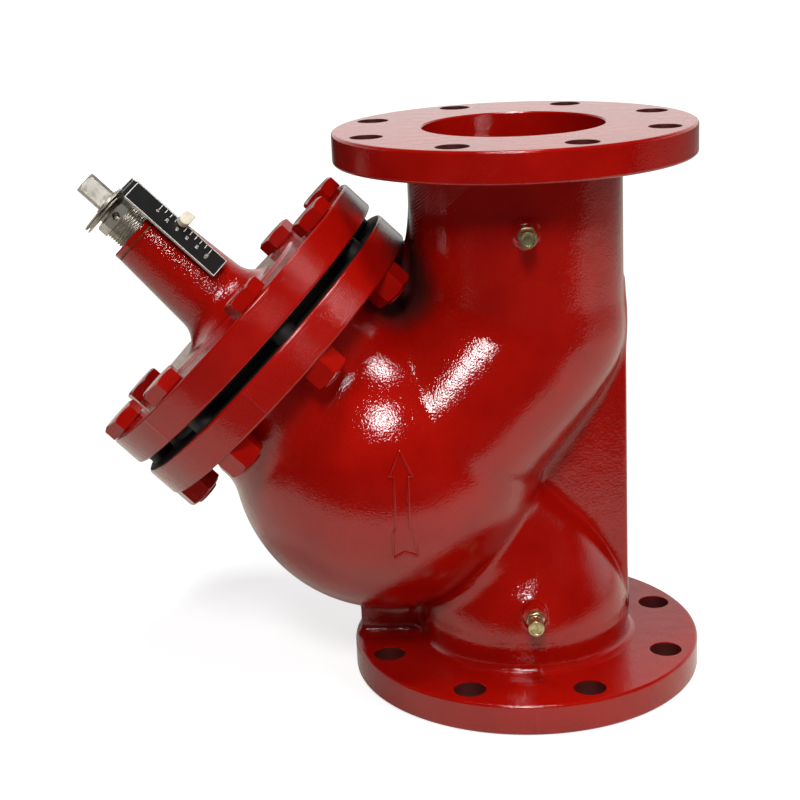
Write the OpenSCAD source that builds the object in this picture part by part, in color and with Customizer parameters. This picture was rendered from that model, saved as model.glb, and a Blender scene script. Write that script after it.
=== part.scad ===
// Circuit balancing valve, flanged, angled bonnet with a rising stem and a position scale.
// The origin is the centre of the inlet flange face. +Z runs up the pipe axis, and the
// bonnet leans from it towards -X. "Station" means a distance along the bonnet axis,
// counted from the point where that axis crosses the pipe axis.

/* [Pipe ends] */
// Distance between the two pipe flange faces
face_to_face = 400; // [395:1:430]
// Outside diameter of the pipe flanges
pipe_flange_d = 254; // [250:1:280]
// Thickness of the pipe flanges
pipe_flange_t = 22; // [18:0.5:26]
// Bore of the pipe ends
pipe_bore_d = 127; // [122:1:132]
// Distance from a pipe flange's rim in to its bolt circle
pipe_bolt_edge = 19.05; // [17:0.05:21]
// Diameter of the pipe flange bolt holes
pipe_bolt_hole_d = 22.2; // [17:0.1:24]
// Number of bolt holes in each pipe flange
pipe_bolt_count = 8; // [4, 8]
// Small bevel on the rims of the flanges
rim_bevel = 1.5; // [0.5:0.5:3]
// Fillet between a pipe flange and its tube
flange_fillet_r = 9; // [4:1:12]

/* [Body casting] */
// Wall thickness of the casting
wall_t = 11.5; // [9:0.5:13]
// Height of the inlet elbow's centre above the inlet face
inlet_elbow_h = 41; // [38:1:46]
// Height at which the bonnet axis crosses the pipe axis
axis_cross_h = 66; // [62:1:70]
// Angle between the bonnet axis and the pipe axis
bonnet_tilt = 45; // [43:0.5:47]
// Height of the outlet elbow's centre above the inlet face
outlet_elbow_h = 260; // [254:1:268]
// Outside diameter of the ball-shaped bowl
bowl_d = 226; // [220:1:232]
// How much the elbow balls stand out from their tubes
elbow_swell = 1; // [0.5:0.5:2]
// Thickness of the web and of the foot rib
web_t = 14; // [10:1:18]
// How far the web stands out from the tubes on the back
web_proud = 1.5; // [1:0.5:5]
// Height of the web's lower end
web_low_h = 34; // [30:1:44]
// Height of the web's upper end
web_high_h = 288; // [280:1:296]
// Length of the slopes at the web's two ends
web_slope_l = 20; // [12:1:26]
// How far the short front web stands out from the outlet tube
front_web_proud = 8; // [6:0.5:10]
// Distance from the flange rim in to the foot rib's outer edge
foot_rib_inset = 5; // [3:0.5:10]

/* [Bonnet joint] */
// Diameter of the two joint flanges
joint_flange_d = 248; // [246:1:254]
// How far the body's joint flange face lies above the top of the bowl
joint_over_bowl = 8.8; // [6:0.2:14]
// Thickness of the body's joint flange
body_joint_t = 24; // [20:1:26]
// Thickness of the bonnet's joint flange
bonnet_joint_t = 24; // [20:1:26]
// Room between the raised joint faces and the joint bolts
face_bolt_room = 3; // [2:0.5:5]
// Height of each raised joint face
raised_face_h = 3.5; // [2:0.5:4.5]
// Thickness of the joint gasket
gasket_t = 2; // [1:0.5:3]
// Width of the gasket, from its bore to the rim of the raised faces
gasket_land = 18; // [16:0.5:22]
// Distance from the joint flanges' rims in to the bolt circle
joint_bolt_edge = 16; // [15:0.5:17]
// Number of joint bolts
joint_bolt_count = 8; // [6, 8]
// Shank diameter of the joint bolts
joint_bolt_d = 18; // [14:1:20]
// Width across flats of the bolt heads
bolt_head_af = 27; // [23:1:28]
// Height of the bolt heads
bolt_head_h = 11; // [9:0.5:13]
// Width across flats of the nuts
nut_af = 27; // [24:1:28]
// Height of the nuts
nut_h = 16; // [13:0.5:18]
// How far the bolt ends stand out of the nuts
bolt_end_out = 2; // [1:0.5:4]

/* [Bonnet] */
// Depth of the bonnet's spigot in the body
spigot_h = 10; // [6:1:14]
// Wall thickness of the spigot
spigot_t = 10; // [7:1:14]
// Thickness of the bonnet's crown above its hollow
crown_t = 20; // [16:1:24]
// Bevel in the corners of the bonnet's hollow
hollow_bevel = 5; // [3:0.5:7]
// Diameter of the stem hub under the crown
hub_d = 48; // [42:1:56]
// Length of the stem hub under the crown
hub_l = 30; // [24:1:36]
// Diameter of the round boss on the bonnet
boss_d = 132; // [126:1:150]
// Height of the round boss
boss_h = 1.5; // [1:0.5:4]
// Diameter of the neck above its fillet
neck_base_d = 59; // [57:0.5:64]
// Diameter of the neck at its top
neck_top_d = 49.6; // [48.5:0.1:52]
// Fillet between the boss and the neck
neck_fillet_r = 18; // [12:0.5:20]
// Height of the neck's top above the bonnet flange
neck_h = 82; // [78:1:88]

/* [Seat and plug] */
// Bore of the seat ring
seat_bore_d = 100; // [92:1:102]
// Distance from the bowl's centre down to the deck that carries the seat ring
deck_drop = 83.2; // [81:0.2:86]
// Room round the disc and the seat ring's head in the bowl's throat
throat_room = 1; // [0.5:0.5:2]
// Depth of the seat ring's pocket in the deck
seat_pocket_h = 8; // [6:0.5:10]
// Thickness of the seat ring's skirt
seat_skirt_t = 7; // [5:0.5:8]
// How far the seat ring's head is wider than its skirt
seat_head_lip = 3; // [2:0.5:4]
// Height of the seat ring's head
seat_head_h = 4; // [3:0.5:6]
// Thickness of the disc
disc_t = 14; // [11:0.5:18]
// How far the disc reaches over the edge of the seat bore
disc_over = 8; // [7.5:0.5:9.5]
// Depth of the seal ring in the disc
seal_h = 5; // [3:0.5:6]
// Width of the seal ring
seal_w = 9; // [7:0.5:10]
// Width of the disc's lip outside the seal
seal_lip = 2; // [1.5:0.5:2.5]
// Bevel on the disc's upper rim
disc_bevel = 5; // [3:0.5:6]
// Height of the hub on top of the disc
disc_hub_h = 12; // [8:1:16]
// Diameter of the hub on top of the disc
disc_hub_d = 40; // [32:1:48]
// Thickness of the retainer's rim
retainer_t = 4; // [3:0.5:6]
// Length of the curved throttling plug below the rim
plug_l = 32; // [24:1:36]
// Diameter of the plug's small end
plug_tip_d = 40; // [36:1:48]
// Step from the retainer's rim in to the plug's flank
plug_step = 2; // [1:0.5:3]
// Radial room between the retainer's rim and the seat bore
plug_room = 0.5; // [0.3:0.1:1]
// Width across flats of the nut under the plug
plug_nut_af = 24; // [22:1:30]
// Height of the nut under the plug
plug_nut_h = 10; // [8:1:12]
// How far the journal stands out below the plug nut
journal_out = 2; // [1:0.5:4]

/* [Stem and drive] */
// Stem diameter
stem_d = 20; // [18:0.5:22]
// Diameter of the stem's lower journal
journal_d = 16; // [12:0.5:17]
// Full travel of the stem
full_lift = 46; // [40:1:48]
// Height of the stem above its closed place, as drawn
drawn_lift = 13; // [10:1:20]
// Outside diameter of the drive thread
thread_d = 35; // [32:0.5:36]
// Length of thread that stays in the neck bush at full lift
thread_engaged = 23; // [18:1:28]
// Width across flats of the drive hexagon
drive_af = 33; // [30:0.5:36]
// Height of the drive hexagon
drive_h = 8.5; // [8:0.5:12]
// Diameter of the cross hole in the drive hexagon
cross_hole_d = 6; // [4:0.5:7]
// Diameter of the round step above the hexagon
drive_step_d = 26; // [24:0.5:30]
// Height of the round step above the hexagon
drive_step_h = 2.5; // [1.5:0.5:4]
// Width across flats of the stem's square end
square_af = 16; // [14:0.5:17]
// Length of the stem's square end
square_l = 20.5; // [16:0.5:26]
// Height of the round land below the square
square_land = 1; // [0.5:0.5:3]
// Bevel on the square's end
square_bevel = 2; // [1:0.5:2.5]
// Turn of the square about the stem, as drawn
square_turn = 17; // [0:1:45]
// Turn of the hexagon about the stem, as drawn
hexagon_turn = 4; // [0:1:30]

/* [Stem bearings] */
// Length of the guide bush
guide_l = 22; // [16:1:24]
// Wall of the guide bush
guide_t = 4; // [3:0.5:5]
// Thickness of the shelf between the guide bush and the packing
shelf_t = 4; // [3:0.5:6]
// Width of the packing rings
packing_w = 6; // [5:0.5:7]
// Number of packing rings
packing_count = 3; // [2:1:4]
// Length of the packing gland
gland_l = 10; // [7:1:12]
// Height left free above the gland
gland_head_room = 2; // [1:0.5:3]
// Wall of the threaded neck bush
neck_bush_t = 3.5; // [3:0.25:4]
// Length of the neck bush inside the neck
neck_bush_l = 38; // [30:1:42]
// Thickness of the neck bush's flange
neck_bush_flange_t = 4.5; // [3:0.5:6]
// Thickness of the shim under the neck bush's flange
shim_t = 0.8; // [0.5:0.1:1.5]

/* [Position scale] */
// Width of the scale plate
plate_w = 17.2; // [16:0.2:20]
// Thickness of the scale plate
plate_t = 1.5; // [1:0.1:2]
// Length of the scale plate
plate_l = 88; // [84:0.5:90]
// Width of the plate's bent strap
strap_w = 14; // [12:0.5:15.5]
// Distance from the stem axis to the back of the plate
plate_off = 33; // [32.5:0.5:36]
// Turn of the plate about the stem, from straight up
plate_turn = -43; // [-60:1:-20]
// Diameter of the washers that hold the plate
washer_d = 50; // [44:1:54]
// Thickness of each washer
washer_t = 1; // [0.8:0.1:1.5]
// Diameter of the plate's ring between the washers
tab_ring_d = 44; // [36:1:46]
// Thickness of the retaining ring
clip_t = 1.2; // [1:0.1:1.6]
// How far the retaining ring stands out from the stem
clip_rim = 3; // [2:0.5:4]
// Width of the retaining ring's slot
clip_slot_w = 5; // [4:0.5:7]
// Depth of the stem's groove for the retaining ring
clip_groove = 1; // [0.6:0.1:1.5]
// Diameter of the indicator peg's shank
peg_d = 4.5; // [4:0.5:6]
// Length of the peg's head along the scale
peg_head_l = 11; // [9:0.5:13]
// Width of the peg's head
peg_head_w = 8.8; // [8:0.2:10]
// Height of the peg's head
peg_head_h = 6; // [4:0.5:8]
// Rounding of the peg head's pointed corner
peg_point_r = 0.8; // [0.5:0.1:1.5]
// How far below the neck's top the peg stands
peg_drop = 14.5; // [12:0.5:18]
// How deep the peg sits in the neck
peg_seat = 2.5; // [2:0.5:3]

/* [Test plugs] */
// Height of the upper test plug
upper_plug_h = 337; // [325:1:345]
// Height of the lower test plug
lower_plug_h = 65; // [60:1:70]
// Distance of the test plugs from the middle, towards the back
plug_side = 5.5; // [0:0.5:8]
// Diameter of the tapped holes for the test plugs
plug_thread_d = 9.7; // [8:0.1:11]
// Diameter of the pads under the test plugs
plug_pad_d = 18; // [16:1:24]
// How far the pads stand out from the tube
plug_pad_h = 1.5; // [1.2:0.1:3]
// Width across flats of the test plug's body
plug_af = 11.6; // [11:0.2:14]
// Height of the test plug's body
plug_body_h = 7; // [5:0.5:10]
// Diameter of the test plug's cap
plug_cap_d = 11.2; // [10:0.2:13]
// Height of the test plug's cap
plug_cap_h = 12; // [9:0.5:15]
// Diameter of the stub that carries the seal and the cap
plug_stub_d = 7.6; // [6:0.2:8.4]
// Thickness of the seal under the cap
plug_seal_t = 1.2; // [0.8:0.1:2]

/* [Clearances and small bevels] */
// Small bevel on the edges of turned pieces
edge_bevel = 1; // [0.4:0.2:1.2]
// Drop from the top of a hexagon to where its corners are cut
hexagon_bevel = 0.8; // [0.4:0.2:1.2]
// Radial room round the stem and the drive thread inside the bonnet
inner_room = 1; // [0.5:0.25:1.5]
// Radial gap of a shaft that turns or slides in its bore
running_gap = 0.05; // [0.02:0.01:0.09]
// Radial gap of a piece that stays put in its bore
seated_gap = 0.05; // [0.02:0.01:0.09]
// Gap that keeps moving pieces from touching at the end of travel
stop_gap = 0.3; // [0.2:0.05:0.5]
// Room round the joint bolts in their holes
bolt_room = 0.75; // [0.5:0.05:1]
// Room round the spigot in the body
spigot_room = 0.3; // [0.2:0.05:0.5]

/* [Hidden] */
$fn = 96;

// Colours as the photograph shows them
paint_red = "#a80c08";
steel_grey = "#96918a";
bare_brass = "#a8965a";
rubber_black = "#1c1c1c";
plate_black = "#262628";
nylon_ivory = "#e6e2cd";
gasket_grey = "#50524e";

over = 1;
tube_r = pipe_bore_d / 2 + wall_t;
elbow_r = tube_r + elbow_swell;
seat_bore_r = seat_bore_d / 2;
seat_leg_r = seat_bore_r + wall_t;
seat_skirt_r = seat_bore_r + seat_skirt_t;
seat_head_r = seat_skirt_r + seat_head_lip;
bowl_r = bowl_d / 2;
elbow_rise = outlet_elbow_h - axis_cross_h;
bowl_station = elbow_rise * cos(bonnet_tilt);
outlet_leg_l = elbow_rise * sin(bonnet_tilt);
deck_station = bowl_station - deck_drop;
joint_station = bowl_station + bowl_r + joint_over_bowl;

// Circles that follow the flanges' rims
pipe_bolt_pcd = pipe_flange_d - 2 * pipe_bolt_edge;
joint_pcd = joint_flange_d - 2 * joint_bolt_edge;
raised_face_d = joint_pcd - joint_bolt_d - 2 * face_bolt_room;
bonnet_bore_d = raised_face_d - 2 * gasket_land;
body_neck_r = bonnet_bore_d / 2 + wall_t;

// Stations of the bonnet joint, from the body outwards
gasket_station = joint_station + raised_face_h;
bonnet_face_station = gasket_station + gasket_t;
bonnet_flange_station = bonnet_face_station + raised_face_h;
bonnet_top_station = bonnet_flange_station + bonnet_joint_t;
boss_station = bonnet_top_station + boss_h;
neck_top_station = bonnet_top_station + neck_h;
hollow_station = bonnet_top_station - crown_t;
hub_station = hollow_station - hub_l;
spigot_station = bonnet_face_station - spigot_h;
nut_station = joint_station - body_joint_t - nut_h;
bolt_hole_r = joint_bolt_d / 2 + bolt_room;

// Stations of what the bonnet carries
guide_top_station = hub_station + guide_l;
packing_station = guide_top_station + shelf_t;
packing_r = stem_d / 2 + packing_w;
gland_station = packing_station + packing_count * packing_w;
chamber_top_station = gland_station + gland_l + gland_head_room;
thread_r = thread_d / 2;
thread_room_r = thread_r + inner_room;
neck_bush_r = thread_r + neck_bush_t;
neck_bush_station = neck_top_station - neck_bush_l;
shim_top_station = neck_top_station + shim_t;
neck_bush_top_station = shim_top_station + neck_bush_flange_t;

// Stations of the moving pieces, as drawn
seat_top_station = deck_station + seat_head_h;
disc_station = seat_top_station + stop_gap + drawn_lift;
disc_r = seat_bore_r + disc_over;
throat_r = max(seat_head_r, disc_r) + throat_room;
seal_r = disc_r - seal_lip;
disc_top_station = disc_station + disc_t;
shoulder_station = disc_top_station + disc_hub_h;
retainer_station = disc_station - retainer_t;
plug_tip_station = retainer_station - plug_l;
plug_nut_station = plug_tip_station - plug_nut_h;
hexagon_station = neck_bush_top_station + stop_gap + drawn_lift;
thread_l = full_lift + stop_gap + thread_engaged;
drive_step_station = hexagon_station + drive_h;
washer_station = drive_step_station + drive_step_h;
tab_station = washer_station + washer_t;
upper_washer_station = tab_station + plate_t;
clip_station = upper_washer_station + washer_t;
square_station = clip_station + clip_t + square_land;
stem_end_station = square_station + square_l;
clip_groove_r = stem_d / 2 - clip_groove;

// The peg stands beside the plate's edge, in line with the plate's turn
peg_station = neck_top_station - peg_drop;
peg_side = plate_w / 2 + stop_gap + peg_d / 2;
neck_slope = (neck_base_d - neck_top_d) / 2 / (neck_h - boss_h - neck_fillet_r);
peg_neck_r = neck_top_d / 2 + neck_slope * peg_drop;
peg_root = sqrt(pow(peg_neck_r, 2) - pow(peg_side, 2)) - peg_seat;
plug_pad_y = elbow_r + plug_pad_h;

// Puts its children in the bonnet's frame: Z along the bonnet axis, X up in the middle plane
module on_bonnet_axis() {
    translate([0, 0, axis_cross_h])
        rotate([0, -bonnet_tilt, 0])
            children();
}

// Copies its children round an axis, half a step away from the middle plane
module round_pattern(count, pcd) {
    for (i = [0 : count - 1])
        rotate([0, 0, (i + 0.5) * 360 / count])
            translate([pcd / 2, 0, 0])
                children();
}

// A round plate from station a to station b with bevelled rims
module rim_disc(r, a, b, bevel) {
    rotate_extrude()
        polygon([[0, a], [r - bevel, a], [r, a + bevel], [r, b - bevel], [r - bevel, b], [0, b]]);
}

// A ring from station a to station b
module ring(inner_r, outer_r, a, b) {
    translate([0, 0, a])
        difference() {
            cylinder(r = outer_r, h = b - a);
            translate([0, 0, -over])
                cylinder(r = inner_r, h = b - a + 2 * over);
        }
}

// A hexagon from station a to station b, with its outer corners taken off by a cone
module hexagon_blank(af, a, b) {
    corner_r = af / 2 / cos(30);
    top_r = corner_r - hexagon_bevel / tan(30);
    translate([0, 0, a])
        intersection() {
            cylinder(r = corner_r, h = b - a, $fn = 6);
            cylinder(r1 = top_r + (b - a) / tan(30), r2 = top_r, h = b - a);
        }
}

// Puts its children on a test plug's axis: Z points away from the tube, on the near side
module at_test_plugs() {
    for (h = [lower_plug_h, upper_plug_h])
        translate([plug_side, 0, h])
            rotate([90, 0, 0])
                children();
}

// The concave fillet between a tube and a flange face at z = 0
module flange_fillet() {
    rotate_extrude()
        difference() {
            translate([tube_r - over, 0])
                square([flange_fillet_r + over, flange_fillet_r]);
            translate([tube_r + flange_fillet_r, flange_fillet_r])
                circle(r = flange_fillet_r);
        }
}

// The back web, the front web and the foot rib under the bowl, all in the middle plane
module body_webs() {
    web_x = tube_r + web_proud;
    front_x = tube_r + front_web_proud;
    foot_x = pipe_flange_d / 2 - foot_rib_inset;
    translate([0, web_t / 2, 0])
        rotate([90, 0, 0])
            linear_extrude(web_t) {
                polygon([
                    [0, web_low_h], [tube_r - over, web_low_h], [web_x, web_low_h + web_slope_l],
                    [web_x, web_high_h - web_slope_l], [tube_r - over, web_high_h], [0, web_high_h]
                ]);
                polygon([
                    [-front_x, outlet_elbow_h + body_joint_t],
                    [0, outlet_elbow_h + body_joint_t],
                    [0, face_to_face - pipe_flange_t / 2],
                    [-front_x, face_to_face - pipe_flange_t / 2]
                ]);
                polygon([
                    [-foot_x, pipe_flange_t / 2], [0, pipe_flange_t / 2], [0, axis_cross_h],
                    [-foot_x, axis_cross_h]
                ]);
            }
}

// A pipe flange with its face at z = 0, its tube, and the elbow ball at the tube's end
module pipe_end(elbow_h) {
    rim_disc(pipe_flange_d / 2, 0, pipe_flange_t, rim_bevel);
    translate([0, 0, pipe_flange_t])
        flange_fillet();
    cylinder(r = tube_r, h = elbow_h);
    intersection() {
        translate([0, 0, elbow_h])
            sphere(r = elbow_r);
        translate([0, 0, pipe_flange_t / 2])
            cylinder(r = 2 * elbow_r, h = 2 * elbow_r + elbow_h);
    }
}

// The outside of the casting
module body_outside() {
    pipe_end(inlet_elbow_h);
    translate([0, 0, face_to_face])
        mirror([0, 0, 1])
            pipe_end(face_to_face - outlet_elbow_h);
    on_bonnet_axis() {
        sphere(r = seat_leg_r + elbow_swell);
        cylinder(r = seat_leg_r, h = deck_station);
        translate([0, 0, deck_station])
            cylinder(r = throat_r + wall_t, h = deck_drop);
        translate([0, 0, bowl_station]) {
            sphere(r = bowl_r);
            cylinder(r = body_neck_r, h = joint_station - bowl_station - over);
            rotate([0, 90, 0])
                cylinder(r = tube_r, h = outlet_leg_l);
        }
        rim_disc(joint_flange_d / 2, joint_station - body_joint_t, joint_station, rim_bevel);
        translate([0, 0, joint_station - over])
            cylinder(d = raised_face_d, h = raised_face_h + over);
    }
    at_test_plugs()
        translate([0, 0, tube_r - wall_t / 2])
            cylinder(d = plug_pad_d, h = plug_pad_y - tube_r + wall_t / 2);
    body_webs();
}

// The bowl's hollow above the deck, with its throat
module bowl_hollow() {
    intersection() {
        translate([0, 0, bowl_station])
            sphere(r = bowl_r - wall_t);
        translate([-bowl_r, -bowl_r, deck_station])
            cube([bowl_d, bowl_d, bowl_d]);
    }
    translate([0, 0, deck_station])
        cylinder(r = throat_r, h = deck_drop);
}

// The flow passage and every hole in the casting
module body_inside() {
    bore_r = pipe_bore_d / 2;
    translate([0, 0, -over])
        cylinder(r = bore_r, h = inlet_elbow_h + over);
    translate([0, 0, inlet_elbow_h])
        sphere(r = elbow_r - wall_t);
    translate([0, 0, outlet_elbow_h])
        cylinder(r = bore_r, h = face_to_face - outlet_elbow_h + over);
    translate([0, 0, outlet_elbow_h])
        sphere(r = elbow_r - wall_t);
    on_bonnet_axis() {
        sphere(r = seat_bore_r + elbow_swell);
        cylinder(r = seat_bore_r, h = deck_station + over);
        translate([0, 0, deck_station - seat_pocket_h])
            cylinder(r = seat_skirt_r + seated_gap, h = seat_pocket_h + over);
        bowl_hollow();
        translate([0, 0, bowl_station]) {
            rotate([0, 90, 0])
                cylinder(r = bore_r, h = outlet_leg_l);
            cylinder(r = bonnet_bore_d / 2, h = gasket_station - bowl_station + over);
        }
        translate([0, 0, joint_station - body_joint_t - over])
            round_pattern(joint_bolt_count, joint_pcd)
                cylinder(r = bolt_hole_r, h = body_joint_t + 2 * over);
    }
    for (z = [-over, face_to_face - pipe_flange_t - over])
        translate([0, 0, z])
            round_pattern(pipe_bolt_count, pipe_bolt_pcd)
                cylinder(d = pipe_bolt_hole_d, h = pipe_flange_t + 2 * over);
    at_test_plugs()
        translate([0, 0, bore_r - wall_t])
            cylinder(d = plug_thread_d, h = 3 * wall_t);
}

module valve_body() {
    color(paint_red)
        difference() {
            body_outside();
            body_inside();
        }
}

module seat_ring() {
    color(bare_brass)
        on_bonnet_axis() {
            rotate_extrude()
                polygon([
                    [seat_bore_r, deck_station - seat_pocket_h],
                    [seat_skirt_r, deck_station - seat_pocket_h],
                    [seat_skirt_r, deck_station],
                    [seat_head_r, deck_station],
                    [seat_head_r, seat_top_station - edge_bevel],
                    [seat_head_r - edge_bevel, seat_top_station],
                    [seat_bore_r + edge_bevel, seat_top_station],
                    [seat_bore_r, seat_top_station - edge_bevel]
                ]);
        }
}

// Half of the bonnet's section outside, from the axis outwards
module bonnet_profile() {
    spigot_r = bonnet_bore_d / 2 - spigot_room;
    joint_r = joint_flange_d / 2;
    base_r = neck_base_d / 2;
    polygon([
        [0, spigot_station], [spigot_r, spigot_station], [spigot_r, bonnet_face_station],
        [raised_face_d / 2, bonnet_face_station], [raised_face_d / 2, bonnet_flange_station],
        [joint_r - rim_bevel, bonnet_flange_station], [joint_r, bonnet_flange_station + rim_bevel],
        [joint_r, bonnet_top_station - rim_bevel], [joint_r - rim_bevel, bonnet_top_station],
        [boss_d / 2 + edge_bevel, bonnet_top_station], [boss_d / 2 - edge_bevel, boss_station],
        [base_r, boss_station], [base_r, boss_station + neck_fillet_r],
        [neck_top_d / 2, neck_top_station], [0, neck_top_station]
    ]);
    difference() {
        translate([base_r - over, boss_station - over])
            square([neck_fillet_r + over, neck_fillet_r + over]);
        translate([base_r + neck_fillet_r, boss_station + neck_fillet_r])
            circle(r = neck_fillet_r);
    }
}

// Half of the bonnet's hollow under the crown, round the stem hub
module bonnet_hollow_profile() {
    hollow_r = bonnet_bore_d / 2 - spigot_room - spigot_t;
    polygon([
        [hub_d / 2, spigot_station - over], [hollow_r, spigot_station - over],
        [hollow_r, hollow_station - hollow_bevel], [hollow_r - hollow_bevel, hollow_station],
        [hub_d / 2 + hollow_bevel, hollow_station], [hub_d / 2, hollow_station - hollow_bevel]
    ]);
}

module bonnet() {
    color(paint_red)
        on_bonnet_axis()
            difference() {
                rotate_extrude()
                    difference() {
                        union() {
                            bonnet_profile();
                            translate([0, hub_station])
                                square([hub_d / 2, hub_l]);
                        }
                        bonnet_hollow_profile();
                        translate([0, hub_station - over])
                            square([stem_d / 2 + guide_t + seated_gap, guide_l + over]);
                        translate([0, guide_top_station - over])
                            square([stem_d / 2 + inner_room, shelf_t + 2 * over]);
                        translate([0, packing_station])
                            square([packing_r, chamber_top_station - packing_station]);
                        translate([0, chamber_top_station - over])
                            square([thread_room_r, neck_h]);
                        translate([0, neck_bush_station])
                            square([neck_bush_r + seated_gap, neck_bush_l + over]);
                    }
                translate([0, 0, bonnet_flange_station - over])
                    round_pattern(joint_bolt_count, joint_pcd)
                        cylinder(r = bolt_hole_r, h = bonnet_joint_t + 2 * over);
                at_peg()
                    cylinder(r = peg_d / 2 + seated_gap, h = plate_off);
            }
}

module bonnet_gasket() {
    color(gasket_grey)
        on_bonnet_axis()
            ring(bonnet_bore_d / 2, raised_face_d / 2, gasket_station, bonnet_face_station);
}

module bonnet_bolts() {
    color(paint_red)
        on_bonnet_axis()
            round_pattern(joint_bolt_count, joint_pcd) {
                translate([0, 0, nut_station - bolt_end_out])
                    cylinder(d = joint_bolt_d, h = bonnet_top_station - nut_station + bolt_end_out + over);
                rotate([0, 0, 30])
                    hexagon_blank(bolt_head_af, bonnet_top_station, bonnet_top_station + bolt_head_h);
            }
}

module bonnet_nuts() {
    color(paint_red)
        on_bonnet_axis()
            round_pattern(joint_bolt_count, joint_pcd)
                difference() {
                    translate([0, 0, nut_station + nut_h])
                        mirror([0, 0, 1])
                            rotate([0, 0, 30])
                                hexagon_blank(nut_af, 0, nut_h);
                    translate([0, 0, nut_station - over])
                        cylinder(r = joint_bolt_d / 2 + seated_gap, h = nut_h + 2 * over);
                }
}

// The stem: a journal for the plug, a plain shaft and a square end
module stem() {
    color(steel_grey)
        on_bonnet_axis() {
            translate([0, 0, plug_nut_station - journal_out])
                cylinder(d = journal_d, h = shoulder_station + over - plug_nut_station + journal_out);
            translate([0, 0, shoulder_station])
                cylinder(d = stem_d, h = clip_station - shoulder_station);
            translate([0, 0, clip_station - over])
                cylinder(r = clip_groove_r, h = clip_t + 2 * over);
            translate([0, 0, clip_station + clip_t])
                cylinder(d = stem_d, h = square_land);
            intersection() {
                rotate([0, 0, square_turn])
                    translate([-square_af / 2, -square_af / 2, clip_station + clip_t])
                        cube([square_af, square_af, square_land + square_l]);
                rim_disc(stem_d / 2, clip_station, stem_end_station, square_bevel);
            }
        }
}

// The threaded sleeve with its hexagon and cross hole, fixed on the stem
module drive_sleeve() {
    color(steel_grey)
        on_bonnet_axis()
            difference() {
                union() {
                    translate([0, 0, hexagon_station - thread_l])
                        cylinder(d = thread_d, h = thread_l + over);
                    rotate([0, 0, hexagon_turn])
                        hexagon_blank(drive_af, hexagon_station, drive_step_station);
                    translate([0, 0, drive_step_station - over])
                        cylinder(d = drive_step_d, h = drive_step_h + over);
                }
                translate([0, 0, hexagon_station - thread_l - over])
                    cylinder(r = stem_d / 2 + seated_gap, h = thread_l + drive_h + drive_step_h + 2 * over);
                rotate([0, 0, hexagon_turn])
                    translate([0, 0, hexagon_station + drive_h / 2])
                        rotate([90, 0, 0])
                            translate([0, 0, stem_d / 2 - over])
                                cylinder(d = cross_hole_d, h = drive_af);
            }
}

module valve_disc() {
    bore_r = journal_d / 2 + seated_gap;
    color(bare_brass)
        on_bonnet_axis()
            rotate_extrude()
                difference() {
                    polygon([
                        [bore_r, disc_station], [disc_r - edge_bevel, disc_station],
                        [disc_r, disc_station + edge_bevel], [disc_r, disc_top_station - disc_bevel],
                        [disc_r - disc_bevel, disc_top_station],
                        [disc_hub_d / 2 + disc_bevel, disc_top_station],
                        [disc_hub_d / 2, disc_top_station + disc_bevel],
                        [disc_hub_d / 2, shoulder_station], [bore_r, shoulder_station]
                    ]);
                    translate([seal_r - seal_w, disc_station - over])
                        square([seal_w, seal_h + over]);
                }
}

module disc_seal() {
    color(rubber_black)
        on_bonnet_axis()
            ring(
                seal_r - seal_w + seated_gap, seal_r - seated_gap,
                disc_station, disc_station + seal_h - seated_gap
            );
}

// The seal's retainer and the throttling plug in one piece, with a parabolic flank
module throttling_plug() {
    steps = 8;
    rim_r = seat_bore_r - plug_room;
    flank_r = rim_r - plug_step;
    tip_r = plug_tip_d / 2;
    flank = [
        for (i = [0 : steps])
            [flank_r - (flank_r - tip_r) * pow(i / steps, 2), retainer_station - plug_l * i / steps]
    ];
    bore_r = journal_d / 2 + seated_gap;
    color(bare_brass)
        on_bonnet_axis()
            rotate_extrude()
                polygon(concat(
                    [[bore_r, disc_station], [rim_r, disc_station], [rim_r, retainer_station]],
                    flank,
                    [[bore_r, plug_tip_station]]
                ));
}

module plug_nut() {
    color(steel_grey)
        on_bonnet_axis()
            difference() {
                translate([0, 0, plug_tip_station])
                    mirror([0, 0, 1])
                        hexagon_blank(plug_nut_af, 0, plug_nut_h);
                translate([0, 0, plug_nut_station - over])
                    cylinder(r = journal_d / 2 + seated_gap, h = plug_nut_h + 2 * over);
            }
}

module stem_guide() {
    color(bare_brass)
        on_bonnet_axis()
            ring(stem_d / 2 + running_gap, stem_d / 2 + guide_t, hub_station, guide_top_station);
}

module stem_packing() {
    color(rubber_black)
        on_bonnet_axis()
            for (i = [0 : packing_count - 1]) {
                a = packing_station + i * packing_w;
                ring(stem_d / 2 + running_gap, packing_r - seated_gap, a, a + packing_w - seated_gap);
            }
}

module packing_gland() {
    color(bare_brass)
        on_bonnet_axis()
            ring(stem_d / 2 + stop_gap, packing_r - seated_gap, gland_station, gland_station + gland_l);
}

module neck_bush() {
    color(paint_red)
        on_bonnet_axis()
            rotate_extrude()
                polygon([
                    [thread_r + running_gap, neck_bush_station], [neck_bush_r, neck_bush_station],
                    [neck_bush_r, shim_top_station], [neck_top_d / 2, shim_top_station],
                    [neck_top_d / 2, neck_bush_top_station - edge_bevel],
                    [neck_top_d / 2 - edge_bevel, neck_bush_top_station],
                    [thread_r + running_gap, neck_bush_top_station]
                ]);
}

module bush_shim() {
    color(bare_brass)
        on_bonnet_axis()
            ring(neck_bush_r + seated_gap, neck_top_d / 2, neck_top_station, shim_top_station);
}

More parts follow.
